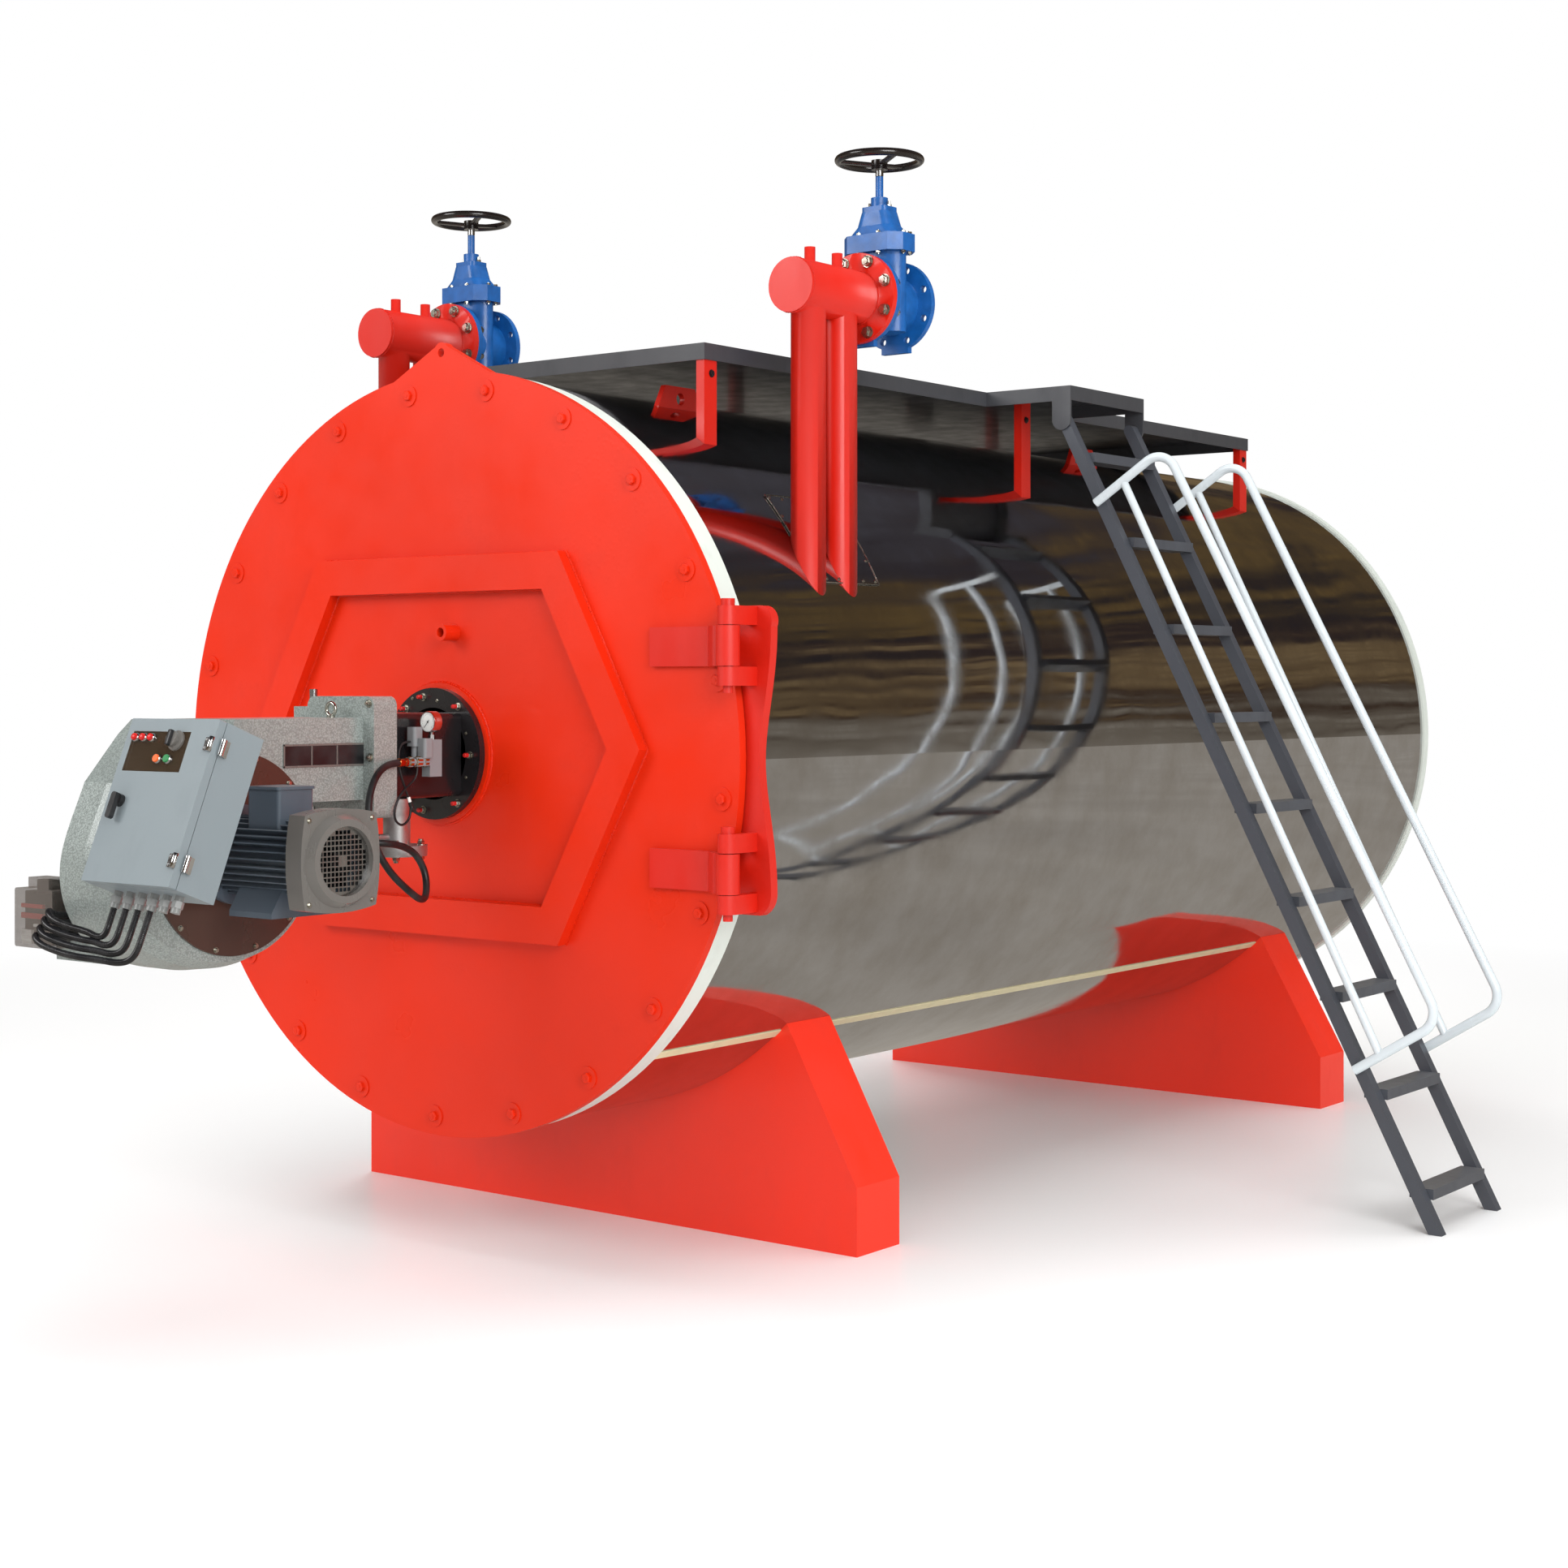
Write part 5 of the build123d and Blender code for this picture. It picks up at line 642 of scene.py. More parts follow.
def eye(middle, axis, radius, wire, around=36, sides=12):
    """A closed round ring of round wire."""
    axis = Vector(axis).normalized()
    right = axis.orthogonal().normalized()
    up = axis.cross(right)
    work = bmesh.new()
    rings = []
    for step in range(around):
        angle = math.tau * step / around
        out = right * math.cos(angle) + up * math.sin(angle)
        ring = []
        for part in range(sides):
            turn = math.tau * part / sides
            spot = middle + out * (radius + wire * math.cos(turn)) + axis * (wire * math.sin(turn))
            ring.append(work.verts.new(spot))
        rings.append(ring)
    for low, high in zip(rings, rings[1:] + rings[:1]):
        for part in range(sides):
            after = (part + 1) % sides
            work.faces.new((low[part], high[part], high[after], low[after]))
    bmesh.ops.recalc_face_normals(work, faces=list(work.faces))
    return smooth(mesh_of(work, "eye"))


def slabs(blocks, soften):
    """One mesh of bevelled plates; each is a middle, its three edges and its sizes."""
    work = bmesh.new()
    for middle, edges, sizes in blocks:
        frame_of = Matrix([Vector(edge).normalized() for edge in edges]).transposed()
        part = bmesh.ops.create_cube(work, size=1.0)["verts"]
        for corner in part:
            corner.co = Vector(middle) + frame_of @ Vector([c * s for c, s in zip(corner.co, sizes)])
    bmesh.ops.bevel(
        work, geom=list(work.edges), offset=soften, segments=2,
        affect="EDGES", profile=0.6, clamp_overlap=True,
    )
    bmesh.ops.recalc_face_normals(work, faces=list(work.faces))
    return mesh_of(work, "slabs")


X, Y, Z = Vector((1, 0, 0)), Vector((0, 1, 0)), Vector((0, 0, 1))


def curve(name, kind, points):
    """A new curve through points, and its spline."""
    line = bpy.data.curves.new(name, "CURVE")
    line.dimensions = "3D"
    spline = line.splines.new(kind)
    spline.points.add(len(points) - 1)
    for point, place in zip(spline.points, points):
        point.co = (*place, 1.0)
    return line, spline


# Cords: each is one smooth line through the route of its solid
def route(name, points):
    """A smooth open line through a route in metres."""
    line, spline = curve(name, "NURBS", points)
    spline.order_u = 3
    spline.use_endpoint_u = True
    spline.resolution_u = 14
    return line


def smooth_cord(name, points, node, diameter, finish):
    """A round cord in place of its solid."""
    line = route(name, points)
    line.bevel_depth = diameter / 2
    line.bevel_resolution = 5
    line.use_fill_caps = True
    line.materials.append(finishes[finish])
    piece = dress(stand(name, line), "front_door")
    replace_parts(piece, node)


RIB_PITCH = 0.0046
RIB_SIDES = 14
RIB_SHAPE = ((0.0, 0.42), (0.25, 0.5), (0.6, 0.5), (0.8, 0.42))


def ribbed_cord(name, points, node, diameter, finish):
    """Corrugated conduit: rings of two radii along the smooth line."""
    line = stand(name + "_line", route(name + "_line", points))
    path = [vertex.co.copy() for vertex in plain(line, name + "_path").vertices]
    reach = [0.0]
    for first, second in zip(path, path[1:]):
        reach.append(reach[-1] + (second - first).length)
    count = int(reach[-1] / RIB_PITCH)
    steps = []
    for rib in range(count):
        start = reach[-1] * rib / count
        steps += [(start + RIB_PITCH * along, share) for along, share in RIB_SHAPE]
    turns = [math.tau * step / RIB_SIDES for step in range(RIB_SIDES)]
    rings, side, index = [], None, 0
    for distance, share in steps:
        while index < len(path) - 2 and reach[index + 1] < distance:
            index += 1
        run = path[index + 1] - path[index]
        spot = path[index] + run * ((distance - reach[index]) / run.length)
        run.normalize()
        side = run.orthogonal().normalized() if side is None else (side - run * side.dot(run)).normalized()
        other = run.cross(side)
        arms = [side * math.cos(turn) + other * math.sin(turn) for turn in turns]
        rings.append([spot + arm * (diameter * share) for arm in arms])
    piece = new_piece(name, smooth(lofted(name, [rings])), "front_door", finish)
    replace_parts(piece, node)


smooth_cord("fuel_hose", [
    (0.190, -1.159, 1.544), (0.190, -1.216, 1.544), (0.204, -1.276, 1.528), (0.228, -1.332, 1.488),
    (0.250, -1.370, 1.426), (0.270, -1.380, 1.356), (0.286, -1.362, 1.284), (0.300, -1.322, 1.222),
    (0.306, -1.264, 1.174), (0.294, -1.201, 1.139), (0.257, -1.143, 1.146), (0.228, -1.116, 1.211),
    (0.221, -1.152, 1.274), (0.225, -1.218, 1.301), (0.233, -1.287, 1.310), (0.189, -1.333, 1.314),
    (0.126, -1.333, 1.316), (0.084, -1.287, 1.314), (0.084, -1.210, 1.314),
], "main_hose", 0.021, "cable_black")
lead_spot = Vector((0.1852, -1.1415, 1.424))
lead_run = Vector((0.004, 0.013, -0.040))
lead_sleeve = new_piece("lead_sleeve", turned([
    ([(0.0040, 0.0), (0.0052, 0.001), (0.0052, 0.015), (0.0040, 0.016)], lead_spot, -lead_run),
], 16), "front_door", "paper_white")
lead_plug = new_piece("lead_plug", turned([
    ([(0.0050, 0.0), (0.0068, 0.002), (0.0068, 0.012), (0.0060, 0.014), (0.0066, 0.016), (0.0066, 0.026),
      (0.0042, 0.031)], lead_spot, lead_run),
], 16), "front_door", "black_plastic")
smooth_cord("coil_lead", [
    (0.158, -1.115, 1.604), (0.158, -1.144, 1.604), (0.162, -1.166, 1.580), (0.168, -1.172, 1.538),
    (0.176, -1.166, 1.494), (0.182, -1.151, 1.454), (0.186, -1.138, 1.414), (0.188, -1.144, 1.376),
    (0.188, -1.174, 1.353), (0.188, -1.206, 1.370), (0.188, -1.208, 1.408), (0.188, -1.184, 1.448),
    (0.189, -1.150, 1.474), (0.190, -1.116, 1.4981), (0.190, -1.116, 1.5301),
], "pilot_lead", 0.007, "cable_black")

# Conduits: length, height of the far end and own start; then one run, lower and further out for each
CONDUIT_OUT = 0.014
CONDUIT_DROP = 0.0207
CONDUIT_GAP = 0.011
CONDUIT_END_X = -0.268
CONDUIT_END_Y = (-2.066, -2.006)
conduit_run = (
    (0.097, -2.226, 1.1185), (0.004, -2.214, 1.1245), (-0.076, -2.204, 1.1345),
    (-0.14, -2.181, 1.1465), (-0.193, -2.141, 1.1545),
)
conduits = (
    (0.649, 1.1275, [
        (0.203, -2.2216, 1.1866), (0.203, -2.2366, 1.1485), (0.1825, -2.2366, 1.113),
        (0.147, -2.2366, 1.1085),
    ]),
    (0.718, 1.1069, [
        (0.253, -2.2216, 1.1866), (0.253, -2.2399, 1.1401), (0.228, -2.2399, 1.0968),
        (0.1847, -2.2399, 1.0878), (0.1468, -2.2399, 1.0968),
    ]),
    (0.790, 1.0861, [
        (0.303, -2.2216, 1.1866), (0.303, -2.2432, 1.1317), (0.2735, -2.2432, 1.0806),
        (0.2224, -2.2432, 1.0671), (0.1657, -2.2486, 1.0751),
    ]),
    (0.864, 1.0654, [
        (0.353, -2.2216, 1.1866), (0.353, -2.2465, 1.1233), (0.319, -2.2465, 1.0644),
        (0.2601, -2.2465, 1.0464), (0.1846, -2.2572, 1.0534),
    ]),
)
for index, (length, end, points) in enumerate(conduits):
    points += [(x, y - CONDUIT_OUT * index, z - CONDUIT_DROP * index) for x, y, z in conduit_run]
    points += [(CONDUIT_END_X + CONDUIT_GAP * index, y, end) for y in CONDUIT_END_Y]
    number = index + 1
    ribbed_cord(f"conduit_{number}", points, f"gland_conduit_{number}", 0.018, "conduit_rib")

# Door: washered bolts round the rim, weld beads round the frame and the burner ring
DOOR_BOLTS = 21
DOOR_BOLT_CIRCLE = 1141
DOOR_BOLT_FIRST = 9.9
DOOR_BOLT_STEP = 17.143
FRAME_MIDDLE = 25
rim_turns = [math.radians(DOOR_BOLT_FIRST + DOOR_BOLT_STEP * step) for step in range(DOOR_BOLTS)]
bolts("door_bolts", [
    (at(DOOR_BOLT_CIRCLE * math.sin(turn), 0, DOOR_BOLT_CIRCLE * math.cos(turn)), -Y) for turn in rim_turns
], "front_door", "door_red", "door")
outer_frame = ((533, 591), (857, 0), (533, -591), (-533, -591), (-857, 0), (-533, 591))
inner_frame = ((467, 479), (729, 0), (467, -479), (-467, -479), (-729, 0), (-467, 479))
bead("door_welds", [
    [at(x, -1, FRAME_MIDDLE + height) for x, height in outer_frame],
    [at(x, -1, FRAME_MIDDLE + height) for x, height in inner_frame],
    circle(at(0, -1, 0), 0.223, X, Z),
], "front_door", "door_red", 0.0045, 0.0045)

# Burner mouth: studs, their red caps and small screws on the flange
FLANGE_FACE = -36
CAP_FACE = -47
stud_spots = (
    (-41, 177), (112, 148), (163, -2), (110, -152), (-41, -177), (-118, 140), (-163, 4), (-112, -148),
)
screw_spots = ((146, 65), (146, -71), (-146, 65), (-146, -71), (20, 165), (-90, 172))
for name, face, spots, finish, size in (
    ("flange_studs", FLANGE_FACE, stud_spots, "zinc", "burner stud"),
    ("flange_caps", CAP_FACE, stud_spots, "lamp_red", "stud cap"),
    ("flange_screws", FLANGE_FACE, screw_spots, "zinc", "flange screw"),
):
    bolts(name, [(at(x, face, height), -Y) for x, height in spots], "front_door", finish, size)

# Pilot line: nuts of its fittings and ferrules of the hose
PILOT_X = 190
PILOT_START = -239
PILOT_HEIGHT = -16
for index, (start, length) in enumerate(((7.6, 16.8), (33.6, 22.8), (69.6, 14.8))):
    name = f"line_nut_{index}"
    bolt_sizes[name] = ((0.0166, length / 1000, 6), (0, 0), (0.0112, 0.001))
    bolts(name, [(at(PILOT_X, PILOT_START - start, PILOT_HEIGHT), -Y)], "front_door", "brass", name)
new_piece("hose_ferrules", turned([
    ([(0.0112, 0.0), (0.0128, 0.002), (0.0128, 0.012), (0.0118, 0.014), (0.0128, 0.016), (0.0128, 0.034),
      (0.0112, 0.036)], at(PILOT_X, -326, PILOT_HEIGHT), -Y),
    ([(0.0112, 0.0), (0.0128, 0.002), (0.0128, 0.030), (0.0112, 0.032)], at(84, -377, -246), -Y),
]), "front_door", "copper")

# Gauge: face, rim, marks with the needle, hub
GAUGE = at(180, -230, 103)
DIAL = at(180, -230.9, 103)
DIAL_START = 225
DIAL_SWEEP = 270
DIAL_STEPS = 25
NEEDLE_ANGLE = 228
new_piece("gauge_face", turned([
    ([(0.0285, 0.0), (0.0285, 0.0006)], GAUGE, -Y),
], 48), "front_door", "paper_white")
new_piece("gauge_rim", turned([
    ([(0.0324, -0.0275), (0.0324, 0.0), (0.0316, 0.003), (0.0296, 0.0032), (0.0288, 0.0008),
      (0.0286, -0.0004)], GAUGE, -Y),
], 48), "front_door", "hinge_chrome")


def dial_mark(degrees, reach, length, width, lift=0.0):
    """A thin mark along a direction of the dial, with its middle at a reach from the hub."""
    turn = math.radians(degrees)
    arm = X * math.cos(turn) + Z * math.sin(turn)
    return (DIAL + arm * reach - Y * lift, (arm, Y, arm.cross(Y)), (length, 0.0004, width))


marks = []
for step in range(DIAL_STEPS + 1):
    reach, length = (0.0236, 0.0026) if step % 5 else (0.0225, 0.0048)
    marks.append(dial_mark(DIAL_START - DIAL_SWEEP * step / DIAL_STEPS, reach, length, 0.0007))
marks.append(dial_mark(NEEDLE_ANGLE, 0.007, 0.030, 0.0012, 0.0006))
new_piece("gauge_marks", slabs(marks, 0.0001), "front_door", "black_plastic")
new_piece("gauge_hub", turned([
    ([(0.0028, 0.0), (0.0028, 0.002), (0.002, 0.0026)], DIAL, -Y),
], 16), "front_door", "black_plastic")

# Duct: three dark inspection panes on its near side, in a frame
PANE_SIDE = 130.5
BAR_SIDE = 130.3
panes = ((-747, -649), (-643, -552), (-546, -424))
new_piece("duct_panes", slabs([
    (at(PANE_SIDE, (start + end) / 2, 10), (Y, Z, X), ((end - start) / 1000, 0.056, 0.003))
    for start, end in panes
], 0.001), "front_door", "black_plastic")
frame_bars = (
    (-585, 41, 0.336, 0.006, 0.005),
    (-585, -21, 0.336, 0.006, 0.005),
    (-750, 10, 0.006, 0.068, 0.005),
    (-421, 10, 0.006, 0.068, 0.005),
    (-646, 10, 0.005, 0.060, 0.004),
    (-549, 10, 0.005, 0.060, 0.004),
)
new_piece("duct_frame", slabs([
    (at(BAR_SIDE, setback, height), (Y, Z, X), sizes) for setback, height, *sizes in frame_bars
], 0.001), "front_door", "cowl_grey")


# Fan housing, motor, burner plate and gas flange: screws, bolts and nuts
def ring_of(across, along, radius, first, count):
    """Equally spaced pairs of coordinates on a circle, from a first angle in degrees."""
    turns = [math.radians(first + 360 / count * step) for step in range(count)]
    return [(across + radius * math.cos(turn), along + radius * math.sin(turn)) for turn in turns]


def motor_ring(face, radius, first, count):
    """Places on a circle round the motor's axis that face the ladder."""
    ring = ring_of(MOTOR_AXIS.y, MOTOR_AXIS.z, radius, first, count)
    return [(Vector((MOTOR_AXIS.x + face, y, z)), X) for y, z in ring]


COWL_FRONT = 0.570
COWL_CORNER = 0.112
PLATE_FACE = -446
GAS_X = 84
GAS_SETBACK = -268
GAS_CIRCLE = 72.5
bolts("cover_screws", motor_ring(0.138, 0.272, 15, 12), "front_door", "zinc", "cover screw")
bolts("cowl_screws", [
    (Vector((COWL_FRONT, MOTOR_AXIS.y + side * COWL_CORNER, MOTOR_AXIS.z + up * COWL_CORNER)), X)
    for side in (-1, 1) for up in (-1, 1)
], "front_door", "zinc", "cowl screw")
bolts("motor_flange_bolts", motor_ring(0.158, 0.126, 45, 4), "front_door", "zinc", "burner bolt")
bolts("plate_bolts", [
    (at(x, PLATE_FACE, height), -Y) for x, height in ((155, 160), (155, -160), (-95, -160), (160, 0))
], "front_door", "zinc", "burner bolt")
gas_ring = ring_of(GAS_X, GAS_SETBACK, GAS_CIRCLE, 45, 4)
for name, height, facing in (("gas_bolts", -270, Z), ("gas_nuts", -302, -Z)):
    places = [(at(x, setback, height), facing) for x, setback in gas_ring]
    bolts(name, places, "front_door", "zinc", "gas bolt")

# Burner top: eyebolt on its foot
EYEBOLT_X = 40
EYEBOLT_SETBACK = -491
new_piece("eyebolt", eye(at(EYEBOLT_X, EYEBOLT_SETBACK, 142), Y, 0.019, 0.0054), "front_door", "zinc")
new_piece("eyebolt_foot", turned([
    ([(0.0125, 0.0), (0.0125, 0.004), (0.0085, 0.007)], at(EYEBOLT_X, EYEBOLT_SETBACK, 117.5), Z),
]), "front_door", "zinc")

# Pressure switch: what shows through its case
for name, soften, finish, blocks in (
    ("switch_inside", 0.001, "lamp_red", (
        (-388, -1222, -440, 0.100, 0.010, 0.016), (-388, -1222, -412, 0.100, 0.010, 0.012))),
    ("switch_relay", 0.003, "black_plastic", (
        (-370, -1196, -446, 0.140, 0.034, 0.150), (-346, -1200, -356, 0.070, 0.030, 0.040))),
    ("switch_blocks", 0.001, "paper_white", (
        (-410, -1224, -500, 0.046, 0.010, 0.040), (-350, -1224, -466, 0.060, 0.008, 0.008))),
):
    new_piece(name, slabs([
        (at(x, setback, height), (X, Y, Z), sizes) for x, setback, height, *sizes in blocks
    ], soften), "front_door", finish)

# Cabinet: lamps, push buttons and main switch at the window, hinge plates, barrels and screws
LAMP_SPOTS = ((-133, 171), (-100, 171), (-67, 171))
STOP_SPOT = (-18, 113)
START_SPOT = (24, 113)
SWITCH_SPOT = (34, 165)
HINGE_UPS = (158, -158)
BUTTON_PROFILE = ((0.0108, 0.0), (0.0108, 0.012), (0.0098, 0.0135))


def on_face(profile, *spots):
    """The same turned shape at places on the cabinet's face."""
    return [(profile, on_cabinet(x, up), CABINET_OUT) for x, up in spots]


lamp_rings = new_piece("lamp_rings", turned(
    on_face(((0.0125, 0.0), (0.0125, 0.007), (0.0105, 0.010), (0.0100, 0.010)), *LAMP_SPOTS)
    + on_face(((0.0135, 0.0), (0.0135, 0.006), (0.0115, 0.009), (0.0110, 0.009)), STOP_SPOT, START_SPOT)
), "cabinet_leaf", "hinge_chrome")
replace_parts(lamp_rings, "cabinet_controls")
new_piece("lamp_caps", turned(
    on_face(((0.0098, 0.0), (0.0098, 0.012), (0.0085, 0.016), (0.0045, 0.0185)), *LAMP_SPOTS)
), "cabinet_leaf", "lamp_red")
new_piece("stop_button", turned(on_face(BUTTON_PROFILE, STOP_SPOT)), "cabinet_leaf", "signal_orange")
new_piece("start_button", turned(on_face(BUTTON_PROFILE, START_SPOT)), "cabinet_leaf", "signal_green")
new_piece("main_switch_base", turned(on_face((
    (0.0280, 0.0), (0.0280, 0.006), (0.0250, 0.010), (0.0215, 0.012), (0.0215, 0.022), (0.0195, 0.024)
), SWITCH_SPOT), 36), "cabinet_leaf", "cowl_grey")
new_piece("main_switch_grip", slabs([
    (on_cabinet(*SWITCH_SPOT, 27), (X, CABINET_UP, CABINET_OUT), (0.013, 0.044, 0.014)),
], 0.004), "cabinet_leaf", "black_plastic")
new_piece("hinge_plates", slabs([
    (on_cabinet(163, up, 2.5), (X, CABINET_UP, CABINET_OUT), (0.022, 0.036, 0.005)) for up in HINGE_UPS
], 0.001), "cabinet_leaf", "hinge_chrome")
barrel = ((0.0065, 0.0), (0.0072, 0.001), (0.0072, 0.039), (0.0065, 0.040))
new_piece("hinge_barrels", turned([
    (barrel, on_cabinet(175, up - 20, 4), CABINET_UP) for up in HINGE_UPS
], 20), "cabinet_leaf", "hinge_chrome")
bolts("hinge_screws", [
    (on_cabinet(159, up + off, 5), CABINET_OUT) for up in HINGE_UPS for off in (-11, 11)
], "cabinet_leaf", "bare_steel", "hinge screw")


# Top headers: pipes cut square and closed by flat discs
def square_headers():
    """The headers' own mesh, with its front ends cut off and closed."""
    work = bmesh.new()
    work.from_mesh(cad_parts["headers"].data)
    bmesh.ops.remove_doubles(work, verts=list(work.verts), dist=0.00001)
    for _, x, ahead in HEADER_PLACES:
        own_side = [
            part for part in [*work.verts, *work.edges, *work.faces]
            if (part.co if isinstance(part, bmesh.types.BMVert) else part.verts[0].co).x * x > 0
        ]
        end = at(x, HEADER_END + ahead, HEADER_HEIGHT)
        cut = bmesh.ops.bisect_plane(work, geom=own_side, plane_co=end, plane_no=-Y, clear_outer=True)
        rim = [part for part in cut["geom_cut"] if isinstance(part, bmesh.types.BMEdge)]
        bmesh.ops.contextual_create(work, geom=rim)
    bmesh.ops.recalc_face_normals(work, faces=list(work.faces))
    mesh = smooth(mesh_of(work, "header_pipes"))
    mesh.set_sharp_from_angle(angle=math.radians(30))
    return mesh


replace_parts(new_piece("header_pipes", square_headers(), "boiler", "pipe_red"), "headers")

# Flanges and valves of the headers: bolts, nuts, weld rings and stems
FLANGE_CIRCLE = 120
BONNET_SPOTS = ((104, 18), (104, -18), (-104, 18), (-104, -18), (38, 61), (-38, 61), (38, -61), (-38, -61))
for side, x, ahead in HEADER_PLACES:
    valve = VALVE_SETBACK + ahead
    ring = ring_of(x, HEADER_HEIGHT, FLANGE_CIRCLE, 22.5, 8)
    bonnet = [(x + across, valve + along) for across, along in BONNET_SPOTS]
    for name, places, size in (
        ("flange_bolts", [(at(spot, 804 + ahead, height), -Y) for spot, height in ring], "pipe bolt"),
        ("flange_nuts", [(at(spot, 846 + ahead, height), Y) for spot, height in ring], "pipe nut"),
        ("bonnet_bolts", [(at(*spot, 1642), Z) for spot in bonnet], "bonnet bolt"),
        ("bonnet_nuts", [(at(*spot, 1586), -Z) for spot in bonnet], "bonnet nut"),
        ("gland_bolts", [(at(x + across, valve, 1734), Z) for across in (-37, 37)], "gland bolt"),
    ):
        bolts(f"{name}_{side}", places, "boiler", "zinc", size)
    bead(f"header_welds_{side}", [
        circle(at(x, 803 + ahead, HEADER_HEIGHT), 0.0855, X, Z, 48),
        circle(at(x, 473 + ahead, HEADER_HEIGHT), 0.0835, X, Z, 48),
    ], "boiler", "pipe_red", 0.003, 0.004)
    new_piece(f"valve_stem_{side}", turned([
        ([(0.0129, 0.0), (0.0129, 0.036)], at(x, valve, HEADER_HEIGHT + 405), Z),
    ], 20), "boiler", "bare_steel")

# Cover sheets round the risers: bright hems and rivets
COVER_SPREADS = {"right": (26.5, 42.5), "left": (47.1, 57.1)}
RIVET_SPREADS = {"right": (27.1, 41.9), "left": (47.7, 56.7)}
COVER_START = 530
COVER_END = 875
COVER_RADIUS = 1.188
HEM_RADIUS = 1.1885
HEM_STEPS = 16
RIVET_START = 541
RIVET_RUN = 323


def on_shell(x, setback, degrees, radius):
    """A place on the shell on the side of x, and the way out from it."""
    turn = math.radians(degrees)
    out = Vector((math.copysign(1, x) * math.cos(turn), 0, math.sin(turn)))
    return (at(0, setback, 0) + out * radius, out)


def hem(name, loop, body, finish, radius):
    """A thin closed wire along a sheet's cut edge."""
    line, spline = curve(name, "POLY", loop)
    line.bevel_depth = radius
    line.bevel_resolution = 1
    spline.use_cyclic_u = True
    return new_piece(name, plain(stand(name + "_line", line), name), body, finish)


rivets = []
for side, x, ahead in HEADER_PLACES:
    low, high = COVER_SPREADS[side]
    turns = [low + (high - low) * step / HEM_STEPS for step in range(HEM_STEPS + 1)]
    loop = [on_shell(x, COVER_START + ahead, turn, HEM_RADIUS)[0] for turn in turns]
    loop += [on_shell(x, COVER_END + ahead, turn, HEM_RADIUS)[0] for turn in reversed(turns)]
    hem(f"cover_hem_{side}", loop, "boiler", "zinc", 0.0022)
    low, high = RIVET_SPREADS[side]
    front = RIVET_START + ahead
    for step in range(5):
        turn = low + (high - low) * step / 4
        rivets += [on_shell(x, setback, turn, COVER_RADIUS) for setback in (front, front + RIVET_RUN)]
    for step in range(1, 5):
        rivets += [on_shell(x, front + RIVET_RUN * step / 5, turn, COVER_RADIUS) for turn in (low, high)]
bolts("cover_rivets", rivets, "boiler", "zinc", "rivet")

# Deck posts: one bolt at the head of each on the ladder's side
posts = ((685, 503, 1190), (766, 2232, 1190), (685, 4136, 1190))
bolts("post_bolts", [(at(*post), X) for post in posts], "boiler", "burner_black", "post bolt")


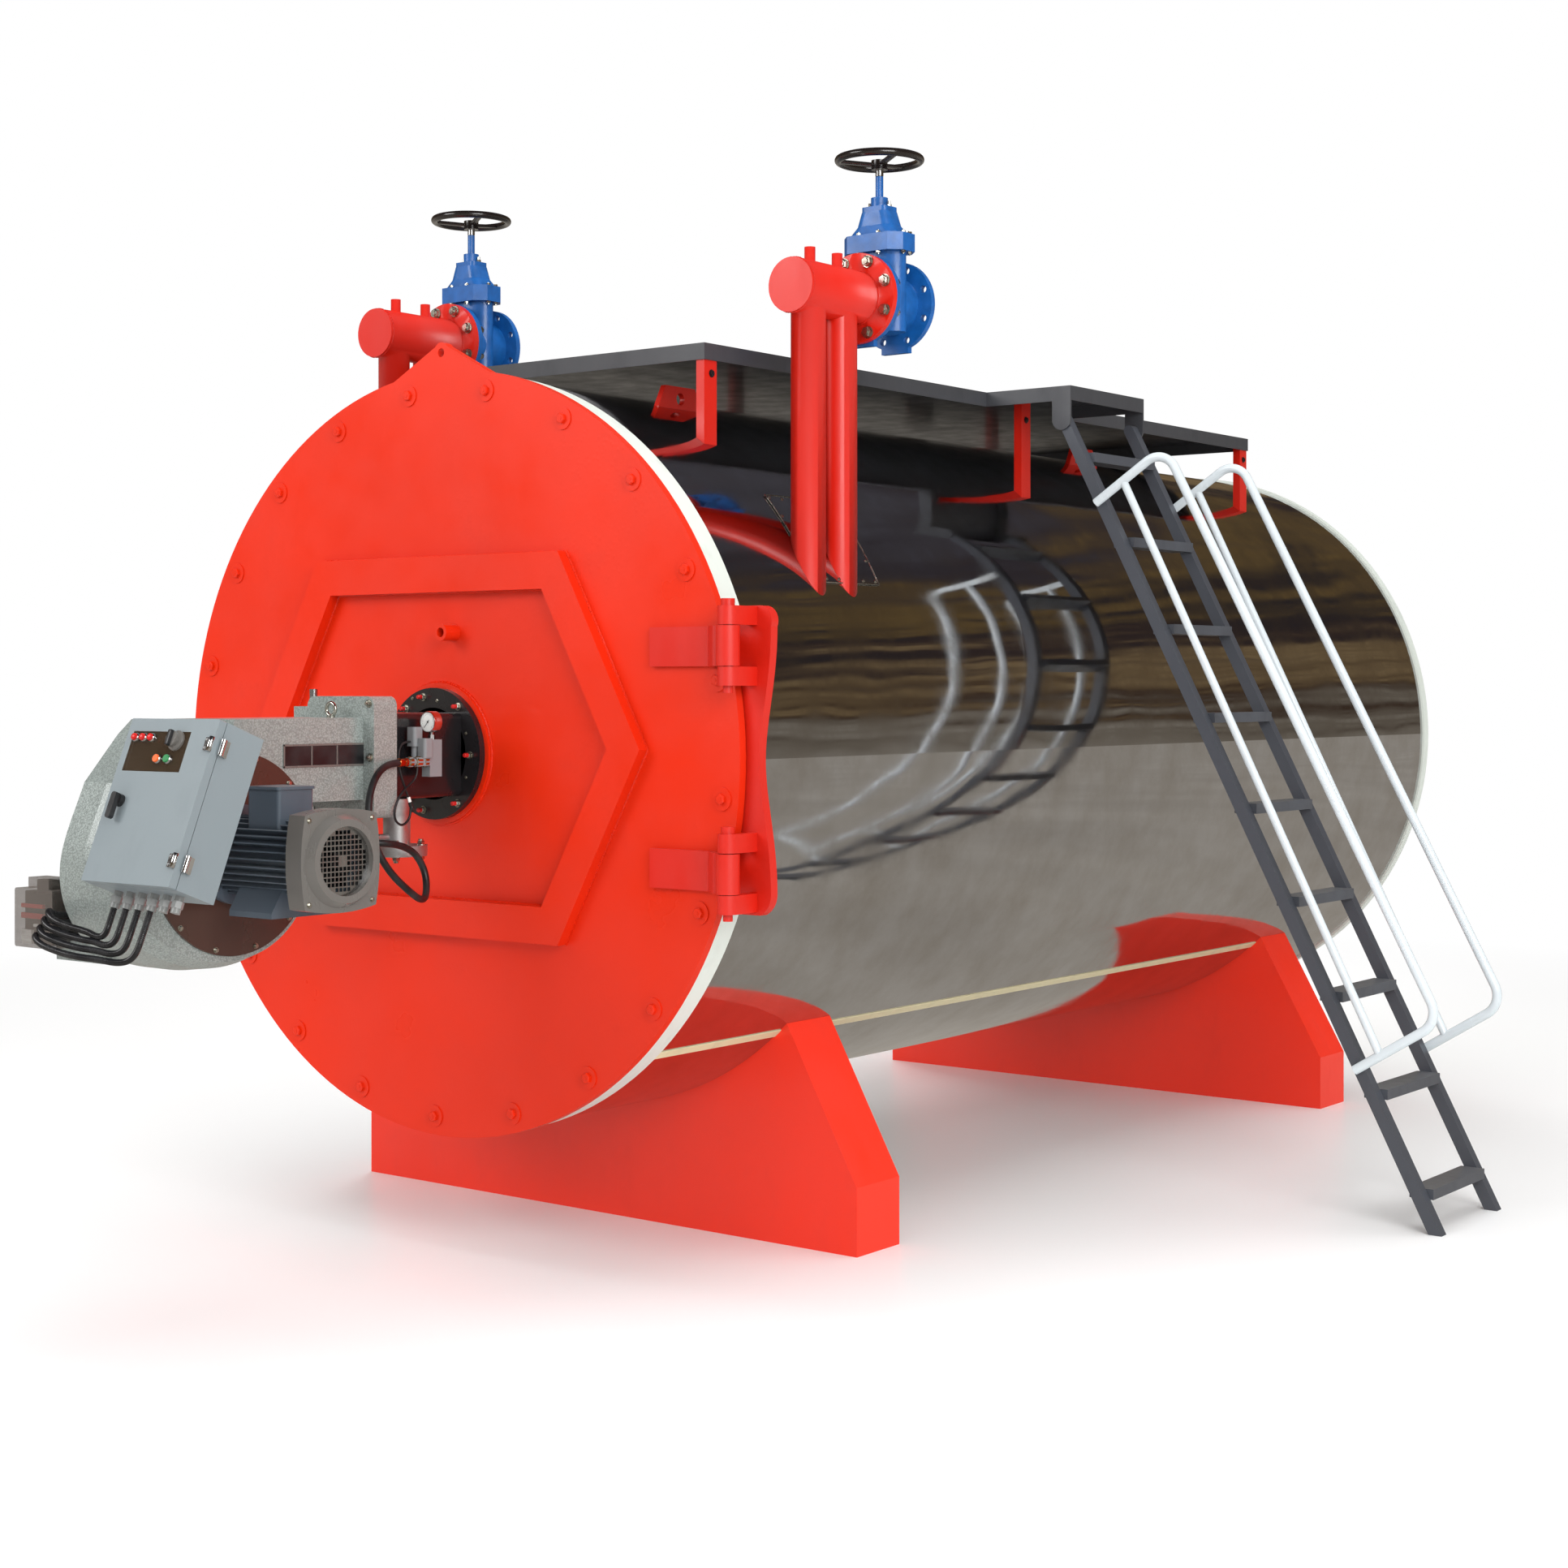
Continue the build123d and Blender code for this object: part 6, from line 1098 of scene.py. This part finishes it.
# Floor, background and light
def floor_and_sky():
    """Pale floor that fades to the white background, and a dim hall that only gloss sees."""
    material, paint = new_finish("pale_floor")
    place = paint.place()
    x, y, _ = paint.axes(place)
    away = ((x * x) + (y - 1.5) * (y - 1.5)) ** 0.5
    path = paint.tree.nodes.new("ShaderNodeLightPath")
    camera = Shade(paint, path.outputs["Is Camera Ray"])
    glossy = Shade(paint, path.outputs["Is Glossy Ray"])
    far = paint.between(away, 4.5, 8.5)
    solid = paint.node(
        "ShaderNodeBsdfPrincipled", values={"Base Color": (0.93, 0.93, 0.93, 1.0), "Roughness": 0.35}
    )
    white = paint.node("ShaderNodeEmission", values={"Color": (1, 1, 1, 1), "Strength": 1.0})
    patches = paint.noise(place, 0.8, 4.0)
    concrete = paint.node(
        "ShaderNodeEmission",
        values={"Color": paint.blend(patches, srgb(150, 143, 134), srgb(186, 180, 170)), "Strength": 1.0},
    )
    shown = paint.node("ShaderNodeMixShader", values={0: far * camera, 1: solid, 2: white})
    shown = paint.node("ShaderNodeMixShader", values={0: glossy, 1: shown, 2: concrete})
    paint.node("ShaderNodeOutputMaterial", values={"Surface": shown})
    mesh = bpy.data.meshes.new("floor")
    mesh.from_pydata([(-90, -90, 0), (90, -90, 0), (90, 90, 0), (-90, 90, 0)], [], [(0, 1, 2, 3)])
    mesh.materials.append(material)
    stand("floor", mesh)

    world = bpy.data.worlds.new("studio")
    world.use_nodes = True
    bpy.context.scene.world = world
    sky = Paint(world.node_tree)
    direction = sky.node("ShaderNodeTexCoord", output="Generated")
    up = sky.axes(direction)[2]
    streaks = sky.noise(sky.stretch(direction, (1.2, 1.2, 9.0)), 3.0, 3.0, 0.6)
    fine = sky.noise(sky.stretch(direction, (2.0, 2.0, 26.0)), 5.0, 3.0, 0.6)
    hall = sky.node(
        "ShaderNodeValToRGB",
        {"stops": [
            (0.0, srgb(150, 143, 134)),
            (0.10, srgb(120, 112, 100)),
            (0.16, srgb(60, 44, 34)),
            (0.22, srgb(128, 108, 78)),
            (0.27, srgb(58, 46, 42)),
            (0.34, srgb(44, 40, 42)),
            (0.40, srgb(104, 84, 52)),
            (0.46, srgb(52, 46, 50)),
            (0.56, srgb(76, 74, 80)),
            (0.66, srgb(28, 26, 28)),
            (1.0, srgb(58, 58, 62)),
        ]},
        {"Fac": up * 0.8 + (streaks - 0.5) * 0.4 + (fine - 0.5) * 0.12 + 0.05},
    )
    path = sky.tree.nodes.new("ShaderNodeLightPath")
    plain = sky.node("ShaderNodeBackground", values={"Color": (1, 1, 1, 1), "Strength": 0.82})
    white = sky.node("ShaderNodeBackground", values={"Color": (1, 1, 1, 1), "Strength": 1.0})
    dim = sky.node("ShaderNodeBackground", values={"Color": hall, "Strength": 1.0})
    lit = sky.node(
        "ShaderNodeMixShader", values={0: Shade(sky, path.outputs["Is Glossy Ray"]), 1: plain, 2: dim}
    )
    lit = sky.node(
        "ShaderNodeMixShader", values={0: Shade(sky, path.outputs["Is Camera Ray"]), 1: lit, 2: white}
    )
    sky.node("ShaderNodeOutputWorld", values={"Surface": lit})


def lamp(name, place, aim, size, power, mirrored=True):
    """A soft light at a place, aimed at another."""
    data = bpy.data.lights.new(name, "AREA")
    data.shape = "RECTANGLE"
    data.size, data.size_y = size
    data.energy = power
    holder = stand(name, data)
    holder.location = place
    holder.visible_glossy = mirrored
    holder.rotation_euler = (Vector(aim) - Vector(place)).to_track_quat("-Z", "Y").to_euler()


floor_and_sky()
lamp("key", (-4.5, -9.0, 6.5), (0, -0.5, 1.6), (5, 4), 470)
lamp("fill", (8.5, -4.5, 5.0), (0.5, 1.0, 1.5), (5, 5), 600)
lamp("top", (0.5, 1.5, 9.0), (0, 1.5, 2.0), (8, 8), 430, False)
lamp("back", (-6.0, 8.0, 6.0), (0, 3.5, 1.6), (5, 5), 340, False)

# Camera of the photograph
camera_data = bpy.data.cameras.new("camera")
camera_data.sensor_width = 36.0
camera_data.sensor_fit = "HORIZONTAL"
camera_data.lens = 55.40
camera_data.shift_y = -0.0622
camera = stand("camera", camera_data)
camera.location = (5.467, -6.183, 1.770)
camera.rotation_euler = (math.pi / 2, 0, 0.6549)
bpy.context.scene.camera = camera
bpy.context.scene.view_settings.view_transform = "Standard"
